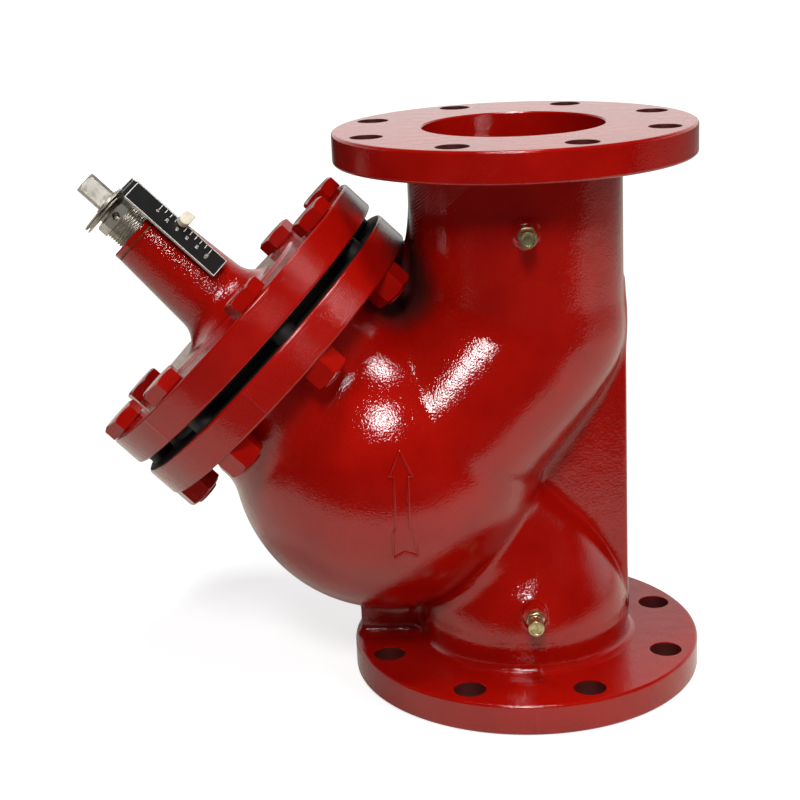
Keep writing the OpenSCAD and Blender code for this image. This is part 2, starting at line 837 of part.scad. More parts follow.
// The bent plate: its face runs beside the neck and its ring lies between the washers
module scale_plate() {
    color(plate_black)
        on_bonnet_axis()
            rotate([0, 0, plate_turn])
                difference() {
                    union() {
                        translate([plate_off, -plate_w / 2, upper_washer_station - plate_l])
                            cube([plate_t, plate_w, plate_l]);
                        translate([0, -strap_w / 2, tab_station])
                            cube([plate_off + plate_t / 2, strap_w, plate_t]);
                        translate([0, 0, tab_station])
                            cylinder(d = tab_ring_d, h = plate_t);
                    }
                    translate([0, 0, tab_station - over])
                        cylinder(r = stem_d / 2 + running_gap, h = plate_t + 2 * over);
                }
}

module scale_washers() {
    color(steel_grey)
        on_bonnet_axis()
            for (a = [washer_station, upper_washer_station])
                ring(stem_d / 2 + seated_gap, washer_d / 2, a, a + washer_t);
}

module retaining_ring() {
    color(steel_grey)
        on_bonnet_axis()
            difference() {
                ring(clip_groove_r + seated_gap, stem_d / 2 + clip_rim, clip_station, clip_station + clip_t);
                translate([0, -clip_slot_w / 2, clip_station - over])
                    cube([stem_d, clip_slot_w, clip_t + 2 * over]);
            }
}

// Puts its children on the peg's axis, Z pointing away from the stem
module at_peg() {
    rotate([0, 0, plate_turn])
        translate([peg_root, peg_side, peg_station])
            rotate([0, 90, 0])
                children();
}

// The nylon peg: a round shank beside the plate and an oblong head over the plate's edge
module indicator_peg() {
    head_root = plate_off + plate_t + stop_gap - peg_root;
    head_side = (peg_d - peg_head_w) / 2;
    round_x = (peg_head_l - peg_head_w) / 2;
    color(nylon_ivory)
        on_bonnet_axis()
            at_peg() {
                translate([0, 0, seated_gap])
                    cylinder(d = peg_d, h = head_root);
                translate([0, head_side, head_root])
                    linear_extrude(peg_head_h)
                        hull() {
                            for (x = [-round_x, round_x])
                                translate([x, 0])
                                    circle(d = peg_head_w, $fn = 32);
                            translate([peg_point_r - peg_head_l / 2, peg_point_r - peg_head_w / 2])
                                circle(r = peg_point_r, $fn = 16);
                        }
            }
}

module test_plug_bodies() {
    color(bare_brass)
        at_test_plugs() {
            translate([0, 0, pipe_bore_d / 2])
                cylinder(r = plug_thread_d / 2 - seated_gap, h = plug_pad_y - pipe_bore_d / 2);
            translate([0, 0, plug_pad_y])
                cylinder(r = plug_af / 2 / cos(30), h = plug_body_h, $fn = 6);
            translate([0, 0, plug_pad_y + plug_body_h])
                cylinder(d = plug_stub_d, h = plug_seal_t + plug_cap_h / 2);
        }
}

module test_plug_seals() {
    base = plug_pad_y + plug_body_h;
    color(rubber_black)
        at_test_plugs()
            ring(plug_stub_d / 2 + seated_gap, plug_cap_d / 2 - edge_bevel, base, base + plug_seal_t);
}

module test_plug_caps() {
    base = plug_pad_y + plug_body_h + plug_seal_t;
    color(bare_brass)
        at_test_plugs()
            difference() {
                rim_disc(plug_cap_d / 2, base, base + plug_cap_h, edge_bevel);
                translate([0, 0, base - over])
                    cylinder(r = plug_stub_d / 2 + seated_gap, h = plug_cap_h / 2 + over + seated_gap);
            }
}

valve_body();
seat_ring();
bonnet();
bonnet_gasket();
bonnet_bolts();
bonnet_nuts();
stem();
drive_sleeve();
valve_disc();
disc_seal();
throttling_plug();
plug_nut();
stem_guide();
stem_packing();
packing_gland();
neck_bush();
bush_shim();
scale_plate();
scale_washers();
retaining_ring();
indicator_peg();
test_plug_bodies();
test_plug_seals();
test_plug_caps();
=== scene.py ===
"""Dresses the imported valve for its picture: a red cast body with an angled bonnet.

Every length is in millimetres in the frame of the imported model. The origin is the centre of
the inlet face, Z runs up the pipe and the near side is -Y. A station is a distance along the
bonnet's axis from the point where that axis crosses the pipe's axis. A mesh changes to
metres when it becomes a piece.
"""

import logging
import math
from contextlib import contextmanager
from dataclasses import dataclass
from enum import Enum
from typing import Any, Iterable, Iterator, Sequence

import bmesh
import bpy
import numpy as np
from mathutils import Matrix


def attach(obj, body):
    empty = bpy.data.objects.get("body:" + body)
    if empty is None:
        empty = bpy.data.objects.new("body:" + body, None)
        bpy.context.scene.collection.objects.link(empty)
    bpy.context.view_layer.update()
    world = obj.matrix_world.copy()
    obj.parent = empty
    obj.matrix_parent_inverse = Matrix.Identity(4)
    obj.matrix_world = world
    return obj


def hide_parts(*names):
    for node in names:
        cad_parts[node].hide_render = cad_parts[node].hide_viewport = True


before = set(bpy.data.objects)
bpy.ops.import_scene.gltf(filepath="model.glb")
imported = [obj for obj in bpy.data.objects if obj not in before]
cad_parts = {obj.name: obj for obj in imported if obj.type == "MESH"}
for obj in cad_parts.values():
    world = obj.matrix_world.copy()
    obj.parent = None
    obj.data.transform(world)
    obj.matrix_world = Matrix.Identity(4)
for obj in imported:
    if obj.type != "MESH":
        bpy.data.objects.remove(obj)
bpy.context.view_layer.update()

import openvdb
from mathutils import Matrix, Vector

log = logging.getLogger("valve")

# Metres in a millimetre, bolts in each flange, and the room for ridges round a rim.
METRES = 0.001
BOLTS = 8
RIM_SKIN = 0.4
Point = tuple[float, float]
Colour = tuple[float, float, float]
Row = Sequence[float]


# Shader maths


class Wire:
    """A shader node's output that takes part in ordinary arithmetic."""

    def __init__(self, tree: "ShaderTree", made: bpy.types.Node, output: str | int) -> None:
        """Keeps the node, its output and the tree that it belongs to.

        Args:
            tree: The tree that gets the nodes of an expression.
            made: The node.
            output: The name or the place of the output that this object stands for.
        """
        self.tree = tree
        self.made = made
        self.output = output

    @property
    def socket(self) -> bpy.types.NodeSocket:
        """Gives the output's socket."""
        return self.made.outputs[self.output]

    @property
    def wide(self) -> bool:
        """Tells whether the output carries a colour or a vector."""
        return self.socket.type in {"RGBA", "VECTOR"}

    def _reckon(self, operation: str, *terms: Any) -> "Wire":
        """Adds the node for one operation.

        Args:
            operation: The operation's name in Math and Vector Math.
            terms: Wires, numbers or triples.

        Returns:
            The node's result.
        """
        if any(isinstance(t, tuple) or isinstance(t, Wire) and t.wide for t in terms):
            triples = [(t, t, t) if isinstance(t, (int, float)) else t for t in terms]
            return self.tree.node("ShaderNodeVectorMath", {"operation": operation}, triples)
        return self.tree.node("ShaderNodeMath", {"operation": operation}, terms)

    def __add__(self, other: Any) -> "Wire":
        """Adds a term on the right."""
        return self._reckon("ADD", self, other)

    def __radd__(self, other: Any) -> "Wire":
        """Adds a term on the left."""
        return self._reckon("ADD", other, self)

    def __sub__(self, other: Any) -> "Wire":
        """Takes a term away."""
        return self._reckon("SUBTRACT", self, other)

    def __rsub__(self, other: Any) -> "Wire":
        """Takes this output away from a term."""
        return self._reckon("SUBTRACT", other, self)

    def __mul__(self, other: Any) -> "Wire":
        """Multiplies by a term on the right."""
        return self._reckon("MULTIPLY", self, other)

    def __gt__(self, other: Any) -> "Wire":
        """Gives 1 where this output is greater than a term."""
        return self._reckon("GREATER_THAN", self, other)

    def __lt__(self, other: Any) -> "Wire":
        """Gives 1 where this output is less than a term."""
        return self._reckon("LESS_THAN", self, other)

    def reach(self) -> "Wire":
        """Gives the size of the output without its sign."""
        return self._reckon("ABSOLUTE", self)

    def wave(self, period: float) -> "Wire":
        """Gives a sine of the output from -1 to 1 with a period in the output's units."""
        return self._reckon("SINE", self * (2 * math.pi / period))

    def fold(self, half: float) -> "Wire":
        """Folds the output into a zigzag between nought and half."""
        return self._reckon("PINGPONG", self, half)

    def length(self) -> "Wire":
        """Gives the length of a vector."""
        return self.tree.node("ShaderNodeVectorMath", {"operation": "LENGTH"}, [self], "Value")

    def from_axis(self) -> "Wire":
        """Gives a place's distance from the Z axis."""
        return (self * (1.0, 1.0, 0.0)).length()

    def bearing(self) -> "Wire":
        """Gives a place's angle about the Z axis, in radians from X."""
        return self._reckon("ARCTAN2", self.part("Y"), self.part("X"))

    def between(self, low: float, high: float) -> "Wire":
        """Gives one where the output lies between two numbers, and nought elsewhere."""
        return (self > low) * (self < high)

    def ramp(self, low: float, high: float, start: float = 0.0, end: float = 1.0) -> "Wire":
        """Spreads a range of the output over another range, with soft ends.

        Args:
            low: Where the ramp starts.
            high: Where the ramp ends.
            start: The result below low.
            end: The result above high.

        Returns:
            The spread value.
        """
        return self.tree.node(
            "ShaderNodeMapRange",
            {"interpolation_type": "SMOOTHSTEP"},
            {"Value": self, "From Min": low, "From Max": high, "To Min": start, "To Max": end},
        )

    def part(self, name: str) -> "Wire":
        """Gives one of the three numbers of a vector."""
        return self.tree.node("ShaderNodeSeparateXYZ", {}, {"Vector": self}, name)


class ShaderTree:
    """The nodes of one material or world."""

    def __init__(self, owner: bpy.types.Material | bpy.types.World) -> None:
        """Empties the owner's tree.

        Args:
            owner: The material or the world that the nodes are for.
        """
        owner.use_nodes = True
        self.nodes = owner.node_tree.nodes
        self.links = owner.node_tree.links
        self.nodes.clear()

    def node(
        self,
        kind: str,
        settings: dict[str, Any],
        inputs: dict[str | int, Any] | Sequence[Any],
        output: str | int = 0,
    ) -> Wire:
        """Adds a node of any type.

        Args:
            kind: The node's type.
            settings: The node's own settings.
            inputs: Values or wires by the socket's name or place, or a row of them.
            output: The name or the place of the output that is wanted.

        Returns:
            That output.
        """
        made = self.nodes.new(kind)
        for name, value in settings.items():
            setattr(made, name, value)
        pairs = inputs.items() if isinstance(inputs, dict) else enumerate(inputs)
        for place, value in pairs:
            if isinstance(value, Wire):
                self.links.new(value.socket, made.inputs[place])
            else:
                made.inputs[place].default_value = value
        return Wire(self, made, output)

    def blend(self, share: Any, first: Any, second: Any) -> Wire:
        """Mixes two colours.

        Args:
            share: How much of the second colour shows, from 0 to 1.
            first: The first colour, a wire or a triple.
            second: The second colour, a wire or a triple.

        Returns:
            The mixed colour.
        """
        terms = [(*t, 1.0) if isinstance(t, tuple) else t for t in (first, second)]
        return self.node(
            "ShaderNodeMix", {"data_type": "RGBA"}, {0: share, 6: terms[0], 7: terms[1]}, 2
        )

    def ray(self, kind: str) -> Wire:
        """Gives one for rays of one kind, and nought for others."""
        return self.node("ShaderNodeLightPath", {}, {}, f"Is {kind} Ray")

    def place(self) -> Wire:
        """Gives the place on the piece at rest, in millimetres."""
        return self.node("ShaderNodeTexCoord", {}, {}, "Object") * (1 / METRES)

    def bonnet_place(self) -> Wire:
        """Gives the place in the bonnet's frame, in millimetres, with Z along its axis."""
        above = self.place() - (0.0, 0.0, BONNET.cross_height)
        return self.turned(above, BONNET.tilt, "Y_AXIS")

    def turned(self, where: Wire, angle: float, axis: str) -> Wire:
        """Turns a place about an axis by an angle in radians."""
        inputs = {"Vector": where, "Angle": angle}
        return self.node("ShaderNodeVectorRotate", {"rotation_type": axis}, inputs)

    def noise(self, where: Wire, size: float, detail: float = 2.0, rough: float = 0.5) -> Wire:
        """Adds a noise from 0 to 1.

        Args:
            where: The place, in millimetres.
            size: The size of the noise's marks in millimetres.
            detail: How many finer layers it has.
            rough: How strong the finer layers are.

        Returns:
            The noise.
        """
        return self.node(
            "ShaderNodeTexNoise",
            {"noise_dimensions": "3D"},
            {"Vector": where, "Scale": 1 / size, "Detail": detail, "Roughness": rough},
        )

    def bump(self, height: Wire, depth: float) -> Wire:
        """Turns a height into a normal. A height of 1 stands for the depth in millimetres."""
        inputs = {"Height": height, "Distance": depth * METRES}
        return self.node("ShaderNodeBump", {}, inputs, "Normal")

    def surface(self, **inputs: Any) -> None:
        """Ends the tree in a Principled shader.

        Args:
            inputs: Values or wires by the socket's name, with _ for a space.
        """
        named: dict[str | int, Any] = {}
        for name, value in inputs.items():
            wide = isinstance(value, tuple) and len(value) == 3
            named[name.replace("_", " ")] = (*value, 1.0) if wide else value
        shader = self.node("ShaderNodeBsdfPrincipled", {}, named)
        self.node("ShaderNodeOutputMaterial", {}, {"Surface": shader})


# Places


def spin(degrees: float, axis: str = "Z") -> Matrix:
    """Gives a turn about an axis."""
    return Matrix.Rotation(math.radians(degrees), 4, axis)


def move(x: float, y: float, z: float) -> Matrix:
    """Gives a move."""
    return Matrix.Translation((x, y, z))


@dataclass(frozen=True)
class AxisFrame:
    """The line of the bonnet, which the stem slides and turns on.

    Attributes:
        cross_height: Height at which the bonnet's axis crosses the pipe's axis.
        tilt: Angle between the two axes.
    """

    cross_height: float = 66.0
    tilt: float = math.radians(45)

    def matrix(self, turn: float = 0.0) -> Matrix:
        """Gives the matrix from the bonnet's frame, turned by some degrees, to the model's."""
        stand = move(0, 0, self.cross_height) @ Matrix.Rotation(-self.tilt, 4, "Y")
        return stand @ spin(turn)


BONNET = AxisFrame()


# Finishes


class Skin(Enum):
    """How the surface under the red enamel was made, with its pebbles' depth in millimetres."""

    CAST = 0.17
    TURNED = 0.05
    FASTENER = 0.10


class Finish:
    """A finish that makes its material once and then shares it."""

    name: str

    def paint(self, tree: ShaderTree) -> None:
        """Fills the material's tree."""
        raise NotImplementedError

    def material(self) -> bpy.types.Material:
        """Gives the material, which is made at the first call.

        Returns:
            The material.
        """
        found = bpy.data.materials.get(self.name)
        if found is None:
            found = bpy.data.materials.new(self.name)
            self.paint(ShaderTree(found))
        return found


@dataclass(frozen=True)
class RedEnamel(Finish):
    """Glossy red enamel over iron, as smooth or as pebbled as the skin below it.

    Attributes:
        name: The material's name.
        skin: The surface below the paint.
        colour: The paint where it lies at its usual thickness.
        deep: The paint where it has run together.
        gloss: The roughness of the paint.
        seam: The stations between which the joint's inner faces get painted shade.
        seam_r: The radius within which they do.
        painted_shade_colour: The near-black painted shade there, in the bolt holes and in the
            pocket.
        coarse: The stations between which the casting's skin is coarser.
        coarser: How much of their depth the pebbles gain there.
        rim: The stations between which grooves run round a turned rim.
        rim_r: The least radius of that rim.
        half_pitch: Half of the grooves' pitch in millimetres.
        groove: The share of the rim that the grooves cover.
        slope: The slope of the grooves' sides.
        cloud: The size of the paint's faint clouds.
        pebble: The size of the skin's pebbles.
        swell: The size of its broad swellings.
        pit: The size of its pits.
        bolt_circle: The radius of the circle of the pipe bolts' holes, whose walls get painted
            shade.
        hole_r: The radius of those holes.
        hole_reach: The heights between which the piece has no such holes.
        pocket: The middle (x, y, z) and the radius of a corner that gets painted shade. Its twin
            lies on the other side of the middle plane.
    """

    name: str
    skin: Skin
    colour: Colour = (0.345, 0.0040, 0.0014)
    deep: Colour = (0.285, 0.0024, 0.0009)
    gloss: float = 0.06
    seam: Point = (258.6, 268.3)
    seam_r: float = 122.3
    # Painted shade: a near-black colour that stands in for shade in the joint, the bolt holes and
    # one corner.
    painted_shade_colour: Colour = (0.010, 0.007, 0.006)
    coarse: Point = (0.0, 0.0)
    coarser: float = 1.2
    rim: Point | None = None
    rim_r: float = 122.0
    half_pitch: float = 0.90
    groove: float = 0.17
    slope: float = 0.58
    cloud: float = 42.0
    pebble: float = 1.3
    swell: float = 11.0
    pit: float = 2.6
    bolt_circle: float = 0.0
    hole_r: float = 11.4
    hole_reach: Point = (21.3, 378.7)
    pocket: Row = (0.0, 0.0, 0.0, 0.0)

    def joint_shade(self, where: Wire) -> Wire:
        """Gives one in the joint between the two flanges, where painted shade goes, and nought
        elsewhere.
        """
        return where.part("Z").between(*self.seam) * (where.from_axis() < self.seam_r)

    def drilled(self, where: Wire) -> Wire:
        """Finds the bolt holes of the pipe flanges, whose walls get painted shade.

        Args:
            where: The place in the model.

        Returns:
            One in the holes, and nought elsewhere.
        """
        across, half = where.from_axis(), math.pi / BOLTS
        aside = half - where.bearing().fold(half)
        off = across - self.bolt_circle
        square = off * off + aside * aside * across * self.bolt_circle
        return (square < self.hole_r**2) * (1 - where.part("Z").between(*self.hole_reach))

    def painted_corner_shade(self, where: Wire) -> Wire:
        """Finds the corner where painted shade darkens the paint.

        Args:
            where: The place in the model.

        Returns:
            How strong the painted shade is, from 0 to 0.85.
        """
        x, y, z, radius = self.pocket
        along, across, up = where.part("X") - x, where.part("Y").reach() - y, where.part("Z") - z
        square = along * along + across * across + up * up
        return square.ramp(0.0, radius**2, 0.85, 0.0)

    def grooves(self, where: Wire, low: float, high: float) -> Wire:
        """Cuts the grooves of the turned rim.

        Args:
            where: The place in the bonnet's frame.
            low: The station where the rim starts.
            high: The station where it ends.

        Returns:
            The height of the grooves in millimetres.
        """
        along = where.part("Z")
        inside = (where.from_axis() > self.rim_r) * along.between(low, high)
        crest = along.fold(self.half_pitch) - (1 - self.groove) * self.half_pitch
        return inside * crest * (crest > 0) * self.slope

    def paint(self, tree: ShaderTree) -> None:
        """Fills the tree with faintly mottled paint over pebbles and sand marks, with painted shade
        in the flange joint and, on the body, in the pipe flanges' bolt holes and one corner.

        Args:
            tree: The material's tree.
        """
        where, tilted = tree.place(), tree.bonnet_place()
        cloud = tree.noise(where, self.cloud, 3.0)
        pebble = tree.noise(where, self.pebble, 1.0)
        swell = tree.noise(where, self.swell)
        pits = tree.noise(where, self.pit, 1.0).ramp(0.70, 0.80)
        colour = tree.blend(cloud.ramp(0.30, 0.70), self.deep, self.colour)
        colour = tree.blend(pits * 0.25, colour, self.deep)
        # Painted shade: the joint between the flanges, the pipe flanges' bolt holes and a corner by
        # the front web are blended towards a near-black colour. The same mask also makes the paint
        # rougher.
        dull = self.joint_shade(tilted)
        if self.bolt_circle:
            dull = dull + self.drilled(where) * 0.8 + self.painted_corner_shade(where)
        colour = tree.blend(dull, colour, self.painted_shade_colour)
        depth = self.skin.value
        pebble = pebble * (tilted.part("Z").between(*self.coarse) * self.coarser + 1)
        relief = pebble * depth + swell * (depth * 1.4) - pits * (depth * 0.3)
        if self.rim is not None:
            relief = relief + self.grooves(tilted, *self.rim)
        tree.surface(
            Base_Color=colour,
            Roughness=self.gloss + cloud * 0.04 + dull * 0.5,
            Normal=tree.bump(relief, 1.0),
            IOR=1.5,
        )


@dataclass(frozen=True)
class TurnedMetal(Finish):
    """Bare metal with the fine rings of a lathe round the bonnet's axis or along Y.

    Attributes:
        name: The material's name.
        colour: The clean metal.
        stain: The metal where it has tarnished.
        gloss: The roughness of the clean metal.
        across: Whether the rings lie round the bonnet's axis, and not round Y.
        pitch: The pitch of the rings in millimetres.
        depth: Their depth.
    """

    name: str
    colour: Colour
    stain: Colour
    gloss: float
    across: bool = True
    pitch: float = 0.32
    depth: float = 0.012

    def paint(self, tree: ShaderTree) -> None:
        """Fills the tree with rings, stains and scratches.

        Args:
            tree: The material's tree.
        """
        where = tree.bonnet_place() if self.across else tree.place()
        along = where.part("Z" if self.across else "Y")
        rings = (along + tree.noise(where, 6.0) * 0.15).wave(self.pitch) * 0.5 + 0.5
        stain = tree.noise(where, 5.0, 4.0, 0.6).ramp(0.42, 0.70)
        scratch = tree.noise(where * (0.25, 0.25, 3.0), 0.9, 3.0)
        colour = tree.blend(stain, self.colour, self.stain)
        rough = self.gloss + stain * 0.16 + scratch * 0.10
        normal = tree.bump(rings * 0.6 + scratch, self.depth)
        tree.surface(Base_Color=colour, Metallic=1.0, Roughness=rough, Normal=normal)


@dataclass(frozen=True)
class ScaleCoat(Finish):
    """The satin black coat of the scale plate, worn to bare metal along its edges.

    Attributes:
        name: The material's name.
        half_width: Half of the plate's width.
        turn: The plate's turn about the bonnet's axis in degrees.
    """

    name: str
    half_width: float
    turn: float

    def paint(self, tree: ShaderTree) -> None:
        """Fills the tree with a brushed black coat and pale edges.

        Args:
            tree: The material's tree.
        """
        where = tree.turned(tree.bonnet_place(), -math.radians(self.turn), "Z_AXIS")
        brush = tree.noise(where * (1.0, 1.0, 0.06), 0.35, 3.0)
        cloud = tree.noise(where, 9.0, 3.0)
        side = where.part("Y").reach() + tree.noise(where, 1.2) * 0.5
        worn = side.ramp(self.half_width - 0.15, self.half_width + 0.20)
        coat = tree.blend(cloud, (0.006, 0.006, 0.006), (0.013, 0.012, 0.012))
        colour = tree.blend(worn * 0.8, coat, (0.50, 0.47, 0.44))
        rough = 0.26 + brush * 0.12 + cloud * 0.06
        normal = tree.bump(brush, 0.012)
        tree.surface(Base_Color=colour, Metallic=worn * 0.8, Roughness=rough, Normal=normal)


@dataclass(frozen=True)
class Mould(Finish):
    """A moulded or pressed material: nylon, rubber, printing ink or gasket sheet.

    Attributes:
        name: The material's name.
        colour: The usual colour.
        shade: The colour of its darker marks.
        gloss: The roughness.
        grain: The size of its grain in millimetres.
        depth: The depth of its grain in millimetres.
    """

    name: str
    colour: Colour
    shade: Colour
    gloss: float
    grain: float
    depth: float

    def paint(self, tree: ShaderTree) -> None:
        """Fills the tree with grain and faint clouds.

        Args:
            tree: The material's tree.
        """
        where = tree.place()
        grain = tree.noise(where, self.grain, 3.0, 0.6)
        cloud = tree.noise(where, self.grain * 9, 2.0)
        marks = (grain * 0.6 + cloud * 0.4).ramp(0.38, 0.66)
        tree.surface(
            Base_Color=tree.blend(marks, self.shade, self.colour),
            Roughness=self.gloss + grain * 0.12,
            Normal=tree.bump(grain, self.depth),
        )


BODY_RED = RedEnamel(
    "red_enamel_body",
    Skin.CAST,
    rim=(235.5, 258.5),
    bolt_circle=107.95,
    # Painted shade in the corner by the front web and the joint flange, on both sides.
    pocket=(-80.0, 22.0, 292.0, 44.0),
)
BONNET_RED = RedEnamel(
    "red_enamel_bonnet", Skin.CAST, rim=(268.4, 291.5), coarse=(300.0, 372.0)
)
TURNED_RED = RedEnamel("red_enamel_turned", Skin.TURNED)
FASTENER_RED = RedEnamel("red_enamel_fasteners", Skin.FASTENER)
STEEL = TurnedMetal("stem_steel", (0.60, 0.57, 0.51), (0.42, 0.39, 0.33), 0.40)
DULL_BRASS = TurnedMetal("dull_brass", (0.20, 0.13, 0.06), (0.09, 0.06, 0.03), 0.42)
BRASS = TurnedMetal("turned_brass", (0.62, 0.47, 0.22), (0.38, 0.27, 0.12), 0.26)
PLUG_BRASS = TurnedMetal("test_plug_brass", (0.60, 0.52, 0.30), (0.34, 0.29, 0.14), 0.30, False)
RUBBER = Mould("seal_rubber", (0.022, 0.022, 0.023), (0.012, 0.012, 0.012), 0.52, 0.5, 0.03)
SHEET = Mould("gasket_sheet", (0.020, 0.017, 0.015), (0.010, 0.008, 0.007), 0.70, 0.7, 0.06)
NYLON = Mould("ivory_nylon", (0.78, 0.74, 0.60), (0.62, 0.57, 0.42), 0.36, 1.1, 0.03)
INK = Mould("scale_ink", (0.78, 0.76, 0.70), (0.58, 0.55, 0.50), 0.45, 0.5, 0.01)


# Solids


@contextmanager
def reshaped(mesh: bpy.types.Mesh) -> Iterator[bmesh.types.BMesh]:
    """Opens a mesh for changes and stores them at the end.

    Args:
        mesh: The mesh.

    Returns:
        The open mesh.
    """
    work = bmesh.new()
    work.from_mesh(mesh)
    yield work
    work.to_mesh(mesh)
    work.free()


def show(name: str, data: bpy.types.ID) -> bpy.types.Object:
    """Puts an object into the scene.

    Args:
        name: Its name.
        data: Its mesh, text, lamp or camera.

    Returns:
        The object.
    """
    item = bpy.data.objects.new(name, data)
    bpy.context.scene.collection.objects.link(item)
    return item


def taken(item: bpy.types.Object) -> bpy.types.Mesh:
    """Takes an object out of the scene.

    Args:
        item: The object.

    Returns:
        Its final mesh.
    """
    graph = bpy.context.evaluated_depsgraph_get()
    mesh = bpy.data.meshes.new_from_object(item.evaluated_get(graph), depsgraph=graph)
    bpy.data.objects.remove(item)
    return mesh


def rounded(corners: Iterable[Row], steps: int = 5) -> list[Point]:
    """Rounds the corners of a closed outline.

    Args:
        corners: Corner points (a, b), or (a, b, radius) where a corner is rounded.
        steps: How many straight steps an arc gets.

    Returns:
        The outline's points.
    """
    rows = [(*row, 0.0)[:3] for row in corners]
    points: list[Point] = []
    for i, (a, b, radius) in enumerate(rows):
        corner = Vector((a, b))
        if radius <= 0:
            points.append((a, b))
            continue
        before = (Vector(rows[i - 1][:2]) - corner).normalized()
        after = (Vector(rows[(i + 1) % len(rows)][:2]) - corner).normalized()
        half = before.angle(after) / 2
        centre = corner + (before + after).normalized() * (radius / math.sin(half))
        start = corner + before * (radius / math.tan(half)) - centre
        end = corner + after * (radius / math.tan(half)) - centre
        sweep = start.angle_signed(end)
        for k in range(steps + 1):
            turn = Matrix.Rotation(-sweep * k / steps, 2)
            points.append(tuple(centre + turn @ start))
    return points


class Solid:
    """A closed mesh in millimetres that can be added to, cut, placed and dressed."""

    def __init__(self, mesh: bpy.types.Mesh) -> None:
        """Keeps the mesh.

        Args:
            mesh: A closed mesh.
        """
        self.mesh = mesh

    @classmethod
    def of(cls, points: Any, faces: Any) -> "Solid":
        """Makes a solid from points and faces, with the faces turned outwards.

        Args:
            points: The points.
            faces: Rows of point numbers.

        Returns:
            The solid.
        """
        mesh = bpy.data.meshes.new("solid")
        mesh.from_pydata([tuple(map(float, p)) for p in points], [], faces)
        with reshaped(mesh) as work:
            bmesh.ops.remove_doubles(work, verts=work.verts, dist=1e-5)
            bmesh.ops.recalc_face_normals(work, faces=work.faces)
            if work.calc_volume(signed=True) < 0:
                bmesh.ops.reverse_faces(work, faces=work.faces)
        return cls(mesh)

    @classmethod
    def group(cls, solids: Iterable["Solid"]) -> "Solid":
        """Puts solids that don't touch into one mesh.

        Args:
            solids: The solids.

        Returns:
            All of them as one.
        """
        mesh = bpy.data.meshes.new("group")
        with reshaped(mesh) as work:
            for solid in solids:
                work.from_mesh(solid.mesh)
        return cls(mesh)

    def _combined(self, other: "Solid", operation: str) -> "Solid":
        """Joins, cuts or intersects two solids.

        Args:
            other: The other solid.
            operation: The Boolean modifier's operation.

        Returns:
            The new solid.
        """
        first, second = (show("term", solid.mesh) for solid in (self, other))
        change = first.modifiers.new("combine", "BOOLEAN")
        change.operation = operation
        change.solver = "MANIFOLD"
        change.object = second
        mesh = taken(first)
        bpy.data.objects.remove(second)
        return Solid(mesh)

    def __add__(self, other: "Solid") -> "Solid":
        """Joins another solid to this one."""
        return self._combined(other, "UNION")

    def __sub__(self, other: "Solid") -> "Solid":
        """Cuts another solid from this one."""
        return self._combined(other, "DIFFERENCE")

    def __and__(self, other: "Solid") -> "Solid":
        """Keeps what both solids hold."""
        return self._combined(other, "INTERSECT")

    def placed(self, matrix: Matrix) -> "Solid":
        """Copies the solid to another place.

        Args:
            matrix: The matrix that moves the copy.

        Returns:
            The copy.
        """
        mesh = self.mesh.copy()
        mesh.transform(matrix)
        return Solid(mesh)

    def ring(self, count: int, radius: float, turns: Sequence[float] = (0.0,)) -> "Solid":
        """Copies the solid round Z, half a step away from X.

        Args:
            count: How many copies there are.
            radius: Their distance from the axis.
            turns: Turns of the copies about their own axes in degrees, used in rotation.

        Returns:
            The copies in one mesh.
        """
        out = move(radius, 0, 0)
        copies = []
        for i in range(count):
            own = spin(turns[i % len(turns)])
            copies.append(self.placed(spin(360 * (i + 0.5) / count) @ out @ own))
        return Solid.group(copies)

    def piece(
        self,
        name: str,
        finish: Finish,
        body: str,
        slot: str,
        matrix: Matrix | None = None,
        stands_for: Sequence[str] = (),
        sharp: float = 32.0,
    ) -> bpy.types.Object:
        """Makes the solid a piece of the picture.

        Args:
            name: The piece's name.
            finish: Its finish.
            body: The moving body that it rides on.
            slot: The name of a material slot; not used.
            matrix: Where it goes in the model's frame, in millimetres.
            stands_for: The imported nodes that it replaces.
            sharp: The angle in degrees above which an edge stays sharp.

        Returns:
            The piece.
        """
        mesh = self.mesh.copy()
        mesh.name = name
        mesh.transform(Matrix.Scale(METRES, 4) @ (matrix or Matrix.Identity(4)))
        mesh.materials.clear()
        mesh.materials.append(finish.material())
        mesh.shade_smooth()
        mesh.set_sharp_from_angle(angle=math.radians(sharp))
        item = show(name, mesh)
        weigh = item.modifiers.new("even_normals", "WEIGHTED_NORMAL")
        weigh.keep_sharp = True
        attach(item, body)
        if stands_for:
            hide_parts(*stands_for)
        log.info("%s: %d faces on %s", name, len(mesh.polygons), body)
        return item


def lathe(profile: Sequence[Row], turns: int = 128) -> Solid:
    """Turns a closed half section round Z.

    Args:
        profile: Points (radius, height) of the closed section.
        turns: How many steps a full turn has.

    Returns:
        The turned solid.
    """
    angles = [2 * math.pi * k / turns for k in range(turns)]
    points: list[tuple[float, float, float]] = []
    rings: list[list[int]] = []
    for r, z in profile:
        first = len(points)
        if r < 1e-6:
            points.append((0.0, 0.0, z))
            rings.append([first] * turns)
        else:
            points += [(r * math.cos(a), r * math.sin(a), z) for a in angles]
            rings.append(list(range(first, first + turns)))
    faces = []
    for low, high in zip(rings, rings[1:] + rings[:1]):
        for k in range(turns):
            n = (k + 1) % turns
            corners = list(dict.fromkeys((low[k], low[n], high[n], high[k])))
            if len(corners) > 2:
                faces.append(corners)
    return Solid.of(points, faces)


def prism(outline: Sequence[Point], low: float, high: float) -> Solid:
    """Raises an outline in X and Y along Z.

    Args:
        outline: The outline's points.
        low: Where the prism starts.
        high: Where it ends.

    Returns:
        The prism.
    """
    n = len(outline)
    points = [(a, b, z) for z in (low, high) for a, b in outline]
    faces = [[k, (k + 1) % n, n + (k + 1) % n, n + k] for k in range(n)]
    faces += [list(range(n)), list(range(n, 2 * n))]
    return Solid.of(points, faces)


